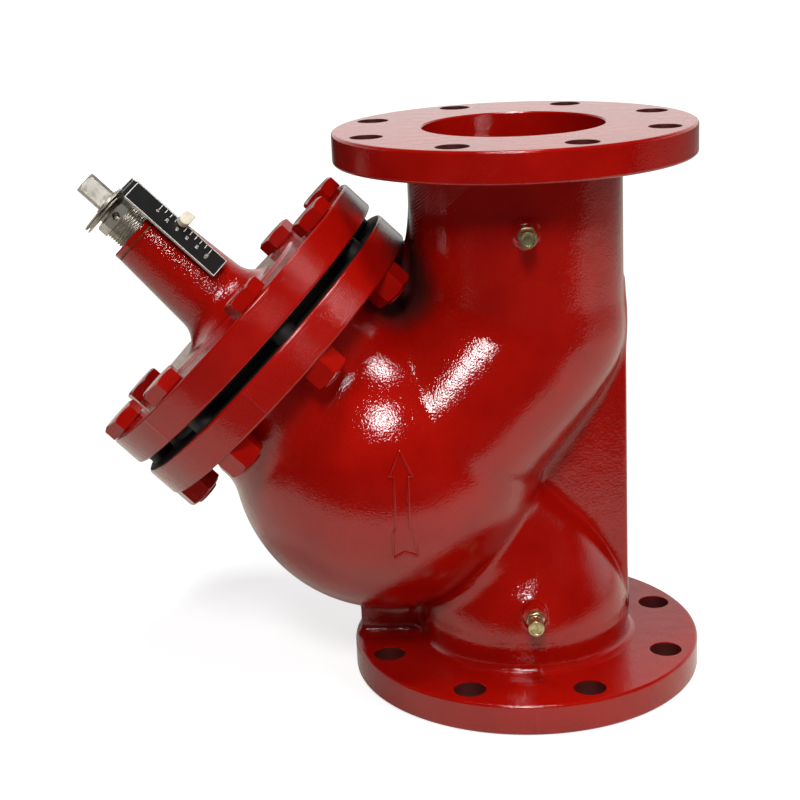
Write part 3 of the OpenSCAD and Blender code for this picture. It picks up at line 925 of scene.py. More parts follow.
def hexagon(flats: float, low: float, high: float, bevel: float = 1.0) -> Solid:
    """Makes a hexagon whose corners a cone has taken off at the high end.

    Args:
        flats: The width across flats.
        low: Where it starts.
        high: Where it ends.
        bevel: How far the cone reaches down at the corners.

    Returns:
        The hexagon.
    """
    corner = flats / 2 / math.cos(math.radians(30))
    outline = [
        (corner * math.cos(math.radians(60 * k)), corner * math.sin(math.radians(60 * k)))
        for k in range(6)
    ]
    top = corner - bevel / math.tan(math.radians(30))
    over = 1.0
    cone = [(0, low - over), (corner + over, low - over), (corner + over, high - bevel)]
    cone += [(corner, high - bevel), (top, high), (0, high)]
    return prism(outline, low, high) & lathe(cone, 96)


def rod(radius: float, low: float, high: float, turns: int = 96, flare: float = 0.0) -> Solid:
    """Makes a round rod along Z.

    Args:
        radius: The rod's radius.
        low: Where it starts.
        high: Where it ends.
        turns: How many steps a full turn has.
        flare: How much wider its ends are, for a hole with broken edges.

    Returns:
        The rod.
    """
    wide = radius + flare
    if not flare:
        return lathe([(0, low), (radius, low), (radius, high), (0, high)], turns)
    profile = [(0, low), (wide, low), (radius, low + 2 * flare)]
    profile += [(radius, high - 2 * flare), (wide, high), (0, high)]
    return lathe(profile, turns)


def arc(centre: float, radius: float, start: float, end: float, steps: int) -> list[Point]:
    """Gives points (radius, height) round a centre on the axis. The lowest is at -90 degrees."""
    angles = [math.radians(start + (end - start) * k / steps) for k in range(steps + 1)]
    return [(max(radius * math.cos(a), 0.0), centre + radius * math.sin(a)) for a in angles]


def ridges(rim: float, low: float, high: float, angles: Iterable[float]) -> Solid:
    """Makes the thin ridges that a mould's parting line leaves on a rim.

    Args:
        rim: The rim's radius.
        low: Where the ridges start.
        high: Where they end.
        angles: Their angles in degrees.

    Returns:
        The ridges.
    """
    inner, outer = rim - 2, rim + RIM_SKIN - 0.02
    outline = [(inner, -1.1), (rim - 0.05, -1.1), (outer, -0.25)]
    outline += [(outer, 0.25), (rim - 0.05, 1.1), (inner, 1.1)]
    bar = prism(outline, low, high)
    return Solid.group(bar.placed(spin(a)) for a in angles)


class Grid:
    """A box of points on which distances to the casting are worked out."""

    def __init__(self, low: Row, high: Row, step: float) -> None:
        """Lays out the points.

        Args:
            low: The box's lowest corner.
            high: Its highest corner.
            step: The distance between two points.
        """
        self.low = Vector(low)
        self.step = step
        count = [int((b - a) / step) + 2 for a, b in zip(low, high)]
        axes = [a + step * np.arange(n, dtype=np.float32) for a, n in zip(low, count)]
        self.x = axes[0][:, None, None]
        self.y = axes[1][None, :, None]
        self.z = axes[2][None, None, :]
        self.count = count
        slope = math.sin(BONNET.tilt)
        rise = self.z - BONNET.cross_height
        self.station = (rise - self.x) * slope
        self.lift = (rise + self.x) * slope

    def ball(self, x: float, z: float, radius: float) -> "Cast":
        """Makes a ball in the middle plane."""
        return Cast(self, np.sqrt((self.x - x) ** 2 + self.y**2 + (self.z - z) ** 2) - radius)

    def _bar(self, across: Any, along: Any, low: float, high: float) -> "Cast":
        """Makes a bar from the distances to its side and along it."""
        ends = np.abs(along - (low + high) / 2) - (high - low) / 2
        return Cast(self, np.maximum(across, ends))

    def upright(self, radius: float, low: float, high: float) -> "Cast":
        """Makes a round bar along the pipe's axis."""
        return self._bar(np.hypot(self.x, self.y) - radius, self.z, low, high)

    def tilted(self, radius: float, low: float, high: float) -> "Cast":
        """Makes a round bar along the bonnet's axis, between two stations."""
        return self._bar(np.hypot(self.lift, self.y) - radius, self.station, low, high)

    def stub(self, x: float, z: float, radius: float, reach: float) -> "Cast":
        """Makes a round bar along -Y from the middle plane."""
        return self._bar(np.hypot(self.x - x, self.z - z) - radius, self.y, -reach, 0.0)

    def spout(self, radius: float, elbow: float, top: float, flat: float) -> "Cast":
        """Makes the upright outlet, which ends in a ball and grows flatter towards it.

        Args:
            radius: Its radius.
            elbow: The height of the ball's centre.
            top: Where the outlet is quite round.
            flat: How much flatter it is at the ball, in the direction of Y.

        Returns:
            The outlet.
        """
        squash = 1 + flat * np.clip((top - self.z) / (top - elbow), 0, 1)
        below = np.minimum(self.z - elbow, 0)
        side = np.sqrt(self.x**2 + (self.y * squash) ** 2 + below**2) - radius
        return Cast(self, side)

    def horn(
        self, station: float, start: float, end: float, radii: Point, squeeze: float
    ) -> "Cast":
        """Makes a tapered branch square to the bonnet's axis, with round ends.

        Args:
            station: The station of the branch's middle line.
            start: Where its wide end's centre lies along the line.
            end: Where its narrow end's centre lies.
            radii: The radii of the wide and the narrow end.
            squeeze: How much flatter the wide end is along the bonnet's axis.

        Returns:
            The branch.
        """
        long, along = end - start, self.lift - start
        flat = 1 + squeeze * np.clip(1 - along / long, 0, 1.3)
        side = np.hypot((self.station - station) * flat, self.y)
        lean = (radii[0] - radii[1]) / long
        upright = math.sqrt(1 - lean * lean)
        place = upright * along - lean * side
        skin = upright * side + lean * along - radii[0]
        wide = np.hypot(side, along) - radii[0]
        narrow = np.hypot(side, along - long) - radii[1]
        return Cast(self, np.where(place < 0, wide, np.where(place > upright * long, narrow, skin)))

    def web(self, corners: Sequence[Point], thickness: float, edge: float) -> "Cast":
        """Makes a convex plate in the middle plane with rounded edges.

        Args:
            corners: Its corners (x, z), in order with the inside on the left.
            thickness: Its thickness.
            edge: The radius of its edges.

        Returns:
            The plate.
        """
        flat = np.full((1, 1, 1), -1e3, dtype=np.float32)
        for (xa, za), (xb, zb) in zip(corners, [*corners[1:], corners[0]]):
            length = math.hypot(xb - xa, zb - za)
            out_x, out_z = (zb - za) / length, (xa - xb) / length
            flat = np.maximum(flat, (self.x - xa) * out_x + (self.z - za) * out_z + edge)
        side = np.abs(self.y) - thickness / 2 + edge
        outside = np.hypot(np.maximum(flat, 0), np.maximum(side, 0))
        return Cast(self, outside + np.minimum(np.maximum(flat, side), 0) - edge)


class Cast:
    """A shape of flowing metal, held as distances from its skin on a grid."""

    def __init__(self, grid: Grid, distance: np.ndarray) -> None:
        """Keeps the distances.

        Args:
            grid: The grid.
            distance: The distance at each point, negative inside.
        """
        self.grid = grid
        self.distance = distance.astype(np.float32, copy=False)

    def __or__(self, other: "Cast") -> "Cast":
        """Joins two shapes with a sharp crease."""
        return Cast(self.grid, np.minimum(self.distance, other.distance))

    def blend(self, other: "Cast", radius: float) -> "Cast":
        """Joins two shapes with a round fillet between them.

        Args:
            other: The other shape.
            radius: The fillet's radius.

        Returns:
            The joined shape.
        """
        near = np.maximum(radius - self.distance, 0)
        far = np.maximum(radius - other.distance, 0)
        least = np.minimum(self.distance, other.distance)
        return Cast(self.grid, np.maximum(least, radius) - np.hypot(near, far))

    def solid(self) -> Solid:
        """Finds the skin.

        Returns:
            The skin as a closed mesh.
        """
        step, reach = self.grid.step, 3.0
        volume = openvdb.FloatGrid()
        volume.background = reach
        full = np.broadcast_to(self.distance, self.grid.count)
        volume.copyFromArray(np.clip(full / step, -reach, reach).astype(np.float32))
        points, quads = volume.convertToQuads(isovalue=0.0)
        mesh = bpy.data.meshes.new("cast")
        places = np.asarray(points) * step + np.array(self.grid.low)
        mesh.from_pydata(places.tolist(), [], np.asarray(quads).tolist())
        with reshaped(mesh) as work:
            if work.calc_volume(signed=True) < 0:
                bmesh.ops.reverse_faces(work, faces=work.faces)
        return Solid(mesh)


# Sub-assemblies


@dataclass
class CastBody:
    """The red casting: two flanges, the bowl, the elbows, the webs and the joint flange.

    The outlet is a spout, round at spout_top and flatter down to its elbow. A horn tapers from
    the bowl to that elbow, and its wide end is squeezed along the bonnet's axis. The pairs
    of the webs are heights: the ends of the back one, the lower corners of the front one.
    """

    length: float = 400.0
    flange_r: float = 127.0
    flange_t: float = 22.0
    bolt_circle: float = 215.9
    bolt_hole_r: float = 11.1
    bore_r: float = 63.5
    tube_r: float = 75.0
    elbow_r: float = 76.0
    wall: float = 11.5
    inlet_elbow: float = 41.0
    outlet_elbow: float = 260.0
    seat_leg_r: float = 61.5
    seat_bore_r: float = 50.0
    pocket_r: float = 57.05
    pocket_depth: float = 8.0
    throat_r: float = 61.0
    bowl_r: float = 113.0
    deck_drop: float = 83.2
    neck_r: float = 89.5
    horn_drop: float = 8.0
    horn_start: float = 40.0
    horn_radii: Point = (99.0, 67.8)
    horn_squeeze: float = 0.25
    spout_top: float = 335.0
    spout_flat: float = 0.09
    bonnet_bore_r: float = 78.0
    joint_r: float = 124.0
    joint_t: float = 24.0
    joint_over_bowl: float = 8.8
    joint_circle: float = 216.0
    joint_hole_r: float = 9.75
    raised_r: float = 96.0
    raised_h: float = 3.5
    web_t: float = 14.0
    web_edge: float = 2.5
    back_web: Point = (34.0, 288.0)
    front_web: Point = (270.0, 302.0)
    web_slope: float = 20.0
    web_spread: float = 9.0
    web_fillet: float = 5.0
    foot_fillet: float = 12.0
    seam_fillet: float = 5.0
    bowl_fillet: float = 4.0
    outlet_fillet: float = 1.5
    horn_fillet: float = 6.0
    flange_fillet: float = 9.0
    joint_fillet: float = 4.0
    elbow_fillet: float = 3.0
    pad_fillet: float = 1.2
    plug_side: float = 5.5
    plug_heights: tuple[float, float] = (65.0, 337.0)
    plug_pad_r: float = 9.0
    plug_pad_y: float = 77.5
    plug_hole_r: float = 4.85
    grain: float = 2.0

    @property
    def bowl_station(self) -> float:
        """Gives the station of the bowl's centre."""
        return (self.outlet_elbow - BONNET.cross_height) * math.cos(BONNET.tilt)

    @property
    def deck(self) -> float:
        """Gives the station of the deck under the seat ring."""
        return self.bowl_station - self.deck_drop

    @property
    def joint(self) -> float:
        """Gives the station of the joint flange's face."""
        return self.bowl_station + self.bowl_r + self.joint_over_bowl

    def bowl_centre(self) -> Vector:
        """Gives the bowl's centre in the model's frame."""
        return BONNET.matrix() @ Vector((0, 0, self.bowl_station))

    def flow_form(self) -> Cast:
        """Pours the bowl, tubes, elbows and webs, with fillets where they meet.

        Returns:
            The poured shape.
        """
        reach = self.flange_r - 2
        grid = Grid((-215, -reach + 1, 4), (100, reach - 1, self.length - 4), self.grain)
        end = self.length - 2
        inset = 0.3
        bowl_x, _, bowl_z = self.bowl_centre()
        elbow = grid.ball(0, self.inlet_elbow, self.elbow_r)
        inlet = grid.upright(self.tube_r, 2, self.inlet_elbow).blend(elbow, self.elbow_fillet)
        turn = grid.ball(0, BONNET.cross_height, self.seat_leg_r + 1)
        seat_leg = grid.tilted(self.seat_leg_r, 0, self.deck) | turn
        neck = grid.tilted(self.neck_r, self.bowl_station, self.joint - 1)
        bowl = grid.ball(bowl_x, bowl_z, self.bowl_r).blend(neck, self.seam_fillet)
        branch = grid.horn(
            self.bowl_station - self.horn_drop,
            self.horn_start,
            self.bowl_station,
            self.horn_radii,
            self.horn_squeeze,
        )
        spout = grid.spout(self.tube_r, self.outlet_elbow, self.spout_top, self.spout_flat)
        outlet = spout.blend(branch, self.horn_fillet)
        form = inlet.blend(seat_leg, self.seam_fillet)
        form = form.blend(bowl, self.bowl_fillet).blend(outlet, self.outlet_fillet)
        for corners, fillet in self.webs():
            form = form.blend(grid.web(corners, self.web_t, self.web_edge), fillet)
        for low, high in ((2, self.flange_t), (self.length - self.flange_t, end)):
            flange = grid.upright(self.flange_r - 3, low + inset, high - inset)
            form = form.blend(flange, self.flange_fillet)
        low, high = self.joint - self.joint_t + inset, self.joint - inset
        form = form.blend(grid.tilted(self.joint_r - 3, low, high), self.joint_fillet)
        for height in self.plug_heights:
            pad = grid.stub(self.plug_side, height, self.plug_pad_r, self.plug_pad_y)
            form = form.blend(pad, self.pad_fillet)
        return form

    def webs(self) -> list[tuple[list[Point], float]]:
        """Lists the three plates in the middle plane.

        Returns:
            Each plate's corners (x, z) and the fillet along it.
        """
        tube, back, front = self.tube_r - 1, self.tube_r + 1.5, self.tube_r + 8
        low, high = self.back_web
        behind = [(0, low), (tube, low), (back, low + self.web_slope)]
        behind += [(back, high - self.web_slope), (tube, high), (0, high)]
        low, high = self.front_web
        top = self.length - self.flange_t / 2
        before = [(-front - self.web_spread, low), (0, low), (0, top)]
        before += [(-front, top), (-front, high)]
        low, high, foot = self.flange_t / 2, BONNET.cross_height, self.flange_r - 5
        under = [(-foot, low), (0, low), (0, high), (-foot, high)]
        return [(behind, self.web_fillet), (before, self.web_fillet), (under, self.foot_fillet)]

    def pipe_flange(self, low: float) -> Solid:
        """Turns one pipe flange with its rounded rim and parting ridges.

        Args:
            low: The height of its lower face.

        Returns:
            The flange.
        """
        rim, high = self.flange_r - RIM_SKIN, low + self.flange_t
        core = self.bore_r - 4
        profile = rounded([(core, low), (rim, low, 2.2), (rim, high, 2.2), (core, high)])
        return lathe(profile, 192) + ridges(rim, low + 1.6, high - 1.6, (-88.6, 91.4))

    def joint_flange(self) -> Solid:
        """Turns the joint flange with its raised face.

        Returns:
            The flange.
        """
        rim, low, face = self.joint_r - RIM_SKIN, self.joint - self.joint_t, self.joint
        core = self.bonnet_bore_r - 4
        raised = face + self.raised_h
        corners = [(core, low), (rim, low, 2), (rim, face, 2), (self.raised_r, face, 0.8)]
        corners += [(self.raised_r, raised, 0.5), (core, raised)]
        disc = lathe(rounded(corners), 192)
        flange = disc + ridges(rim, low + 1.5, face - 1.5, (-90.0, 90.0))
        return flange.placed(BONNET.matrix())

    def passage(self) -> Solid:
        """Makes the shape of the water's way and of the bonnet's bore.

        Returns:
            The shape that is cut out.
        """
        ball = self.elbow_r - self.wall
        lean = math.degrees(math.acos(self.bore_r / ball))
        over = 3.0
        inlet = [(0, -over), (self.bore_r + 1, -over), (self.bore_r + 1, 0), (self.bore_r, 1)]
        inlet += arc(self.inlet_elbow, ball, -lean, 90, 40)
        outlet = arc(self.outlet_elbow, ball, -90, lean, 40)
        outlet += [(self.bore_r, self.length - 1), (self.bore_r + 1, self.length)]
        outlet += [(self.bore_r + 1, self.length + over), (0, self.length + over)]
        seat_ball = self.seat_bore_r + 1
        pocket = self.deck - self.pocket_depth
        inner = self.bowl_r - self.wall
        angle_low = -math.degrees(math.acos(self.throat_r / inner))
        angle_high = math.degrees(math.acos(self.bonnet_bore_r / inner))
        shaft = arc(0, seat_ball, -90, math.degrees(math.acos(self.seat_bore_r / seat_ball)), 30)
        shaft += [(self.seat_bore_r, pocket), (self.pocket_r, pocket), (self.pocket_r, self.deck)]
        shaft += [(self.throat_r, self.deck)]
        shaft += arc(self.bowl_station, inner, angle_low, angle_high, 48)
        shaft += [(self.bonnet_bore_r, self.joint + self.raised_h + over)]
        shaft += [(0, self.joint + self.raised_h + over)]
        leg = rod(self.bore_r, 0, self.bowl_station, 128)
        across = move(0, 0, self.bowl_station) @ spin(90, "Y")
        way = lathe(shaft, 144) + leg.placed(across)
        return lathe(inlet, 144) + lathe(outlet, 144) + way.placed(BONNET.matrix())

    def holes(self) -> Solid:
        """Makes the shapes of the bolt holes and the tapped holes.

        Returns:
            The shapes that are cut out.
        """
        flare = 0.6
        cuts = []
        for low in (0.0, self.length - self.flange_t):
            pin = rod(self.bolt_hole_r, low - flare, low + self.flange_t + flare, 48, flare)
            cuts.append(pin.ring(BOLTS, self.bolt_circle / 2))
        low = self.joint - self.joint_t
        pin = rod(self.joint_hole_r, low - flare, self.joint + flare, 40, flare)
        cuts.append(pin.ring(BOLTS, self.joint_circle / 2).placed(BONNET.matrix()))
        for height in self.plug_heights:
            lay = move(self.plug_side, 0, height) @ spin(90, "X")
            cuts.append(rod(self.plug_hole_r, self.bore_r - 8, self.plug_pad_y + 3, 40).placed(lay))
        return Solid.group(cuts)

    def flow_arrow(self) -> Solid:
        """Makes the raised outline of an arrow that shows the way of the flow.

        Returns:
            The arrow, lying on the bowl.
        """
        corners = [(-83, 199.3), (-74.9, 182.1), (-77.8, 182.1), (-77.8, 147), (-75.3, 141.4)]
        corners += [(-73.5, 123.1), (-82, 127.5), (-90, 122.1), (-89.3, 141.7), (-87, 147)]
        corners += [(-87, 182.6), (-90.1, 183.1)]
        half, proud, sunk, pace = 0.95, 0.95, 0.6, 1.2
        centre = self.bowl_centre()
        path: list[Vector] = []
        for (xa, za), (xb, zb) in zip(corners, corners[1:] + corners[:1]):
            count = max(int(math.hypot(xb - xa, zb - za) / pace), 1)
            for k in range(count):
                path.append(Vector((xa + (xb - xa) * k / count, 0, za + (zb - za) * k / count)))
        points = []
        for k, spot in enumerate(path):
            ahead = path[(k + 1) % len(path)] - path[k - 1]
            side = Vector((ahead.z, 0, -ahead.x)).normalized()
            for shift, height in ((-1, -sunk), (-0.75, 0.7), (0, 1), (0.75, 0.7), (1, -sunk)):
                at = spot + side * (shift * half) - centre
                at.y = -math.sqrt(self.bowl_r**2 - at.x**2 - at.z**2)
                points.append(centre + at * (1 + height * proud / self.bowl_r))
        width = len(points) // len(path)
        faces = []
        for a in range(0, len(points), width):
            b = (a + width) % len(points)
            for j in range(width):
                n = (j + 1) % width
                faces.append([a + j, a + n, b + n, b + j])
        return Solid.of(points, faces)

    def build(self) -> None:
        """Makes the casting and its arrow."""
        form = self.flow_form().solid()
        form = form + self.pipe_flange(0) + self.pipe_flange(self.length - self.flange_t)
        form = form + self.joint_flange()
        form = form - (self.passage() + self.holes())
        form.piece("cast_body", BODY_RED, "casing", "red_paint", stands_for=["valve_body"])
        self.flow_arrow().piece("flow_arrow", TURNED_RED, "casing", "red_paint", sharp=60)


@dataclass
class BonnetCover:
    """The bonnet: its flange, round boss, tapering neck and the collar of the neck bush."""

    face: float = 264.479
    flange_r: float = 124.0
    flange_t: float = 24.0
    raised_r: float = 96.0
    raised_h: float = 3.5
    spigot_r: float = 77.7
    spigot_h: float = 10.0
    hollow_r: float = 67.7
    crown_t: float = 20.0
    hub_r: float = 24.0
    hub_l: float = 30.0
    boss_r: float = 66.0
    boss_h: float = 1.5
    neck_base_r: float = 29.5
    neck_top_r: float = 24.8
    neck_h: float = 82.0
    neck_fillet: float = 18.0
    bore_r: float = 21.05
    bolt_circle: float = 216.0
    hole_r: float = 9.75
    collar_bore_r: float = 17.55
    shim_t: float = 0.8
    collar_t: float = 4.5
    bush_l: float = 38.0

    @property
    def top(self) -> float:
        """Gives the station of the flange's outer face."""
        return self.face + self.raised_h + self.flange_t

    @property
    def neck_top(self) -> float:
        """Gives the station of the neck's top."""
        return self.top + self.neck_h

    def cover(self) -> Solid:
        """Turns the bonnet and drills its bolt holes.

        Returns:
            The bonnet in its own frame.
        """
        rim, low, top = self.flange_r - RIM_SKIN, self.face + self.raised_h, self.top
        boss, inside = top + self.boss_h, top - self.crown_t
        under = self.face - self.spigot_h
        corners = [(self.bore_r, inside - self.hub_l), (self.hub_r, inside - self.hub_l, 1)]
        corners += [(self.hub_r, inside, 5), (self.hollow_r, inside, 5), (self.hollow_r, under)]
        corners += [(self.spigot_r, under, 1), (self.spigot_r, self.face)]
        corners += [(self.raised_r, self.face), (self.raised_r, low, 0.8)]
        corners += [(rim, low, 2), (rim, top, 2)]
        corners += [(self.boss_r + 1.6, top, 1.5), (self.boss_r - 1.0, boss, 1.5)]
        corners += [(self.neck_base_r + 0.4, boss, self.neck_fillet)]
        corners += [(self.neck_top_r, self.neck_top, 0.8), (self.bore_r, self.neck_top)]
        turned = lathe(rounded(corners, 8), 192)
        ridge = ridges(rim, low + 1.5, top - 1.5, (-122.0, 58.0))
        drill = rod(self.hole_r, low - 0.6, top + 0.6, 40, 0.6).ring(BOLTS, self.bolt_circle / 2)
        return turned + ridge - drill

    def collar(self) -> Solid:
        """Turns the neck bush with the collar that closes the neck.

        Returns:
            The bush.
        """
        shim = self.neck_top + self.shim_t
        top = shim + self.collar_t
        low, side = self.neck_top - self.bush_l, self.bore_r - 0.05
        corners = [(self.collar_bore_r, low), (side, low), (side, shim)]
        corners += [(self.neck_top_r, shim, 0.5), (self.neck_top_r, top, 1.1)]
        corners += [(self.collar_bore_r + 0.8, top, 0.3), (self.collar_bore_r, top - 0.8)]
        return lathe(rounded(corners))

    def build(self) -> None:
        """Makes the bonnet and the collar."""
        stand = BONNET.matrix()
        self.cover().piece("bonnet_cover", BONNET_RED, "casing", "red_paint", stand, ["bonnet"])
        self.collar().piece("neck_collar", TURNED_RED, "casing", "red_paint", stand, ["neck_bush"])


@dataclass
class JointFasteners:
    """The eight painted bolts and nuts that hold the bonnet on the body."""

    circle: float = 216.0
    bonnet_top: float = 291.979
    nut_low: float = 218.979
    bolt_r: float = 9.0
    end_out: float = 2.0
    head_flats: float = 27.0
    head_h: float = 11.0
    pad_r: float = 12.8
    pad_h: float = 0.9
    nut_flats: float = 27.0
    nut_h: float = 16.0
    head_turns: tuple[float, ...] = (30, 12, 41, 22, 8, 35, 17, 27)
    nut_turns: tuple[float, ...] = (30, 18, 47, 9, 38, 25, 2, 33)

    def bolt(self) -> Solid:
        """Makes one bolt with a washer face under its head.

        Returns:
            The bolt.
        """
        low, face = self.nut_low - self.end_out, self.bonnet_top
        shank = rounded([(0, low), (self.bolt_r, low, 1.2), (self.bolt_r, face + 1)])
        stem = lathe([*shank, (0, face + 1)], 40)
        pad = rod(self.pad_r, face, face + self.pad_h, 48)
        head = hexagon(self.head_flats, face + 0.6, face + self.head_h, 1.7)
        return stem + pad + head

    def nut(self) -> Solid:
        """Makes one nut, bevelled on its outer side.

        Returns:
            The nut.
        """
        high = self.nut_low + self.nut_h
        blank = hexagon(self.nut_flats, -high, -self.nut_low, 1.9).placed(spin(180, "X"))
        return blank - rod(self.bolt_r + 0.05, self.nut_low - 1, high + 1, 40)

    def build(self) -> None:
        """Makes both sets."""
        stand = BONNET.matrix()
        bolts, nuts = (self.bolt(), self.head_turns), (self.nut(), self.nut_turns)
        for name, (solid, turns) in (("bolts", bolts), ("nuts", nuts)):
            ring, node = solid.ring(BOLTS, self.circle / 2, turns), f"bonnet_{name}"
            ring.piece(f"joint_{name}", FASTENER_RED, "casing", "red_paint", stand, [node])


@dataclass
class StemDrive:
    """The threaded sleeve with its hexagon, the washers and the stem's square end."""

    hexagon_low: float = 392.579
    hexagon_h: float = 8.5
    flats: float = 33.0
    turn: float = 4.0
    cross_hole_r: float = 3.0
    step_r: float = 13.0
    step_h: float = 2.5
    thread_r: float = 17.5
    thread_l: float = 69.3
    thread_depth: float = 1.15
    pitch: float = 2.0
    starts: int = 2
    bore_r: float = 10.05
    washer_r: float = 25.0
    washer_t: float = 1.0
    washer_flat: float = 0.55
    washer_bends: tuple[Point, Point] = ((-0.35, 20.0), (0.45, 70.0))
    plate_t: float = 1.5
    clip_t: float = 1.2
    stem_r: float = 10.0
    square_land: float = 1.0
    square_flats: float = 16.0
    square_l: float = 20.5
    square_turn: float = 17.0
    square_bevel: float = 2.2
    journal_low: float = 23.279
    journal_r: float = 8.0
    shoulder: float = 97.279
    groove_r: float = 9.0

    def thread(self) -> Solid:
        """Winds the sleeve's thread as one closed skin.

        Returns:
            The threaded rod.
        """
        around, per_pitch = 72, 6
        crest_top, flank, first = 1.35, 3.4, 0.25
        low, high = self.hexagon_low - self.thread_l, self.hexagon_low + 0.5
        rows = int((high - low) / self.pitch * per_pitch)
        lead = self.pitch * self.starts
        points = []
        for i in range(rows + 1):
            s = low + (high - low) * i / rows
            run_in = min(1.0, (s - low) / self.pitch + first)
            for k in range(around):
                turn = k / around
                phase = (s - lead * turn) / self.pitch % 1.0
                crest = min(max(crest_top - abs(phase - 0.5) * flank, 0.0), 1.0)
                r = self.thread_r - self.thread_depth * (1 - crest * run_in)
                angle = 2 * math.pi * turn
                points.append((r * math.cos(angle), r * math.sin(angle), s))
        faces = []
        for i in range(rows):
            for k in range(around):
                a, b = i * around + k, i * around + (k + 1) % around
                faces.append([a, b, b + around, a + around])
        faces.append(list(range(around)))
        faces.append([rows * around + k for k in range(around)])
        return Solid.of(points, faces)

    def sleeve(self) -> Solid:
        """Joins the thread, the hexagon with its cross hole, and the round step.

        Returns:
            The sleeve.
        """
        low, high = self.hexagon_low, self.hexagon_low + self.hexagon_h
        end, turn = high + self.step_h, spin(self.turn)
        head = hexagon(self.flats, low, high, 1.3).placed(turn)
        corners = [(0, high - 1), (self.step_r, high - 1), (self.step_r, end, 0.6), (0, end)]
        step = lathe(rounded(corners), 96)
        lay = turn @ move(0, 0, low + self.hexagon_h / 2) @ spin(90, "X")
        cross = rod(self.cross_hole_r, 9, self.flats, 32).placed(lay)
        bore = rod(self.bore_r, low - self.thread_l - 1, end + 1, 72)
        return self.thread() + head + step - (cross + bore)

    def washer(self, low: float, bow: float, way: float) -> Solid:
        """Stamps one thin washer that is slightly bent.

        Args:
            low: The station of its lower face.
            bow: How far its rim bends.
            way: The direction of the bend in degrees.

        Returns:
            The washer.
        """
        high = low + self.washer_t
        corners = [(self.bore_r, low), (self.washer_r, low, 0.3), (self.washer_r, high, 0.3)]
        disc = lathe(rounded([*corners, (self.bore_r, high)], 3), 120)
        for point in disc.mesh.vertices:
            out = math.hypot(point.co.x, point.co.y) / self.washer_r
            share = max(out - self.washer_flat, 0) / (1 - self.washer_flat)
            angle = math.atan2(point.co.y, point.co.x) - math.radians(way)
            point.co.z += bow * share**2 * math.cos(2 * angle)
        return disc

    def stem(self) -> Solid:
        """Makes the stem with its groove and square end.

        Returns:
            The stem.
        """
        clip = self.hexagon_low + self.hexagon_h + self.step_h + 2 * self.washer_t + self.plate_t
        square = clip + self.clip_t + self.square_land
        end = square + self.square_l
        corners = [(0, self.journal_low), (self.journal_r, self.journal_low, 0.6)]
        corners += [(self.journal_r, self.shoulder), (self.stem_r, self.shoulder)]
        corners += [(self.stem_r, clip), (self.groove_r, clip), (self.groove_r, clip + self.clip_t)]
        corners += [(self.stem_r, clip + self.clip_t), (self.stem_r, square, 0.4), (0, square)]
        shaft = lathe(rounded(corners, 3), 80)
        half, bevel = self.square_flats / 2, self.square_bevel
        signs = ((-1, -1), (1, -1), (1, 1), (-1, 1))
        outline = rounded([(half * a, half * b, 0.8) for a, b in signs])
        tip = [(0, square - 2), (self.stem_r, square - 2), (self.stem_r, end - bevel)]
        tip += [(self.stem_r - bevel, end), (0, end)]
        shaped = prism(outline, square - 1, end) & lathe(tip, 80)
        return shaft + shaped.placed(spin(self.square_turn))

    def build(self) -> None:
        """Makes the sleeve, the washers and the stem."""
        stand = BONNET.matrix()
        sleeve = self.sleeve()
        sleeve.piece("drive_thread", STEEL, "stem_set", "steel", stand, ["drive_sleeve"], 28)
        low = self.hexagon_low + self.hexagon_h + self.step_h
        high = low + self.washer_t + self.plate_t
        bends = zip((low, high), self.washer_bends)
        pair = Solid.group(self.washer(at, *bend) for at, bend in bends)
        pair.piece("plate_washers", STEEL, "stem_set", "steel", stand, ["scale_washers"])
        self.stem().piece("square_stem", STEEL, "stem_set", "steel", stand, ["stem"])


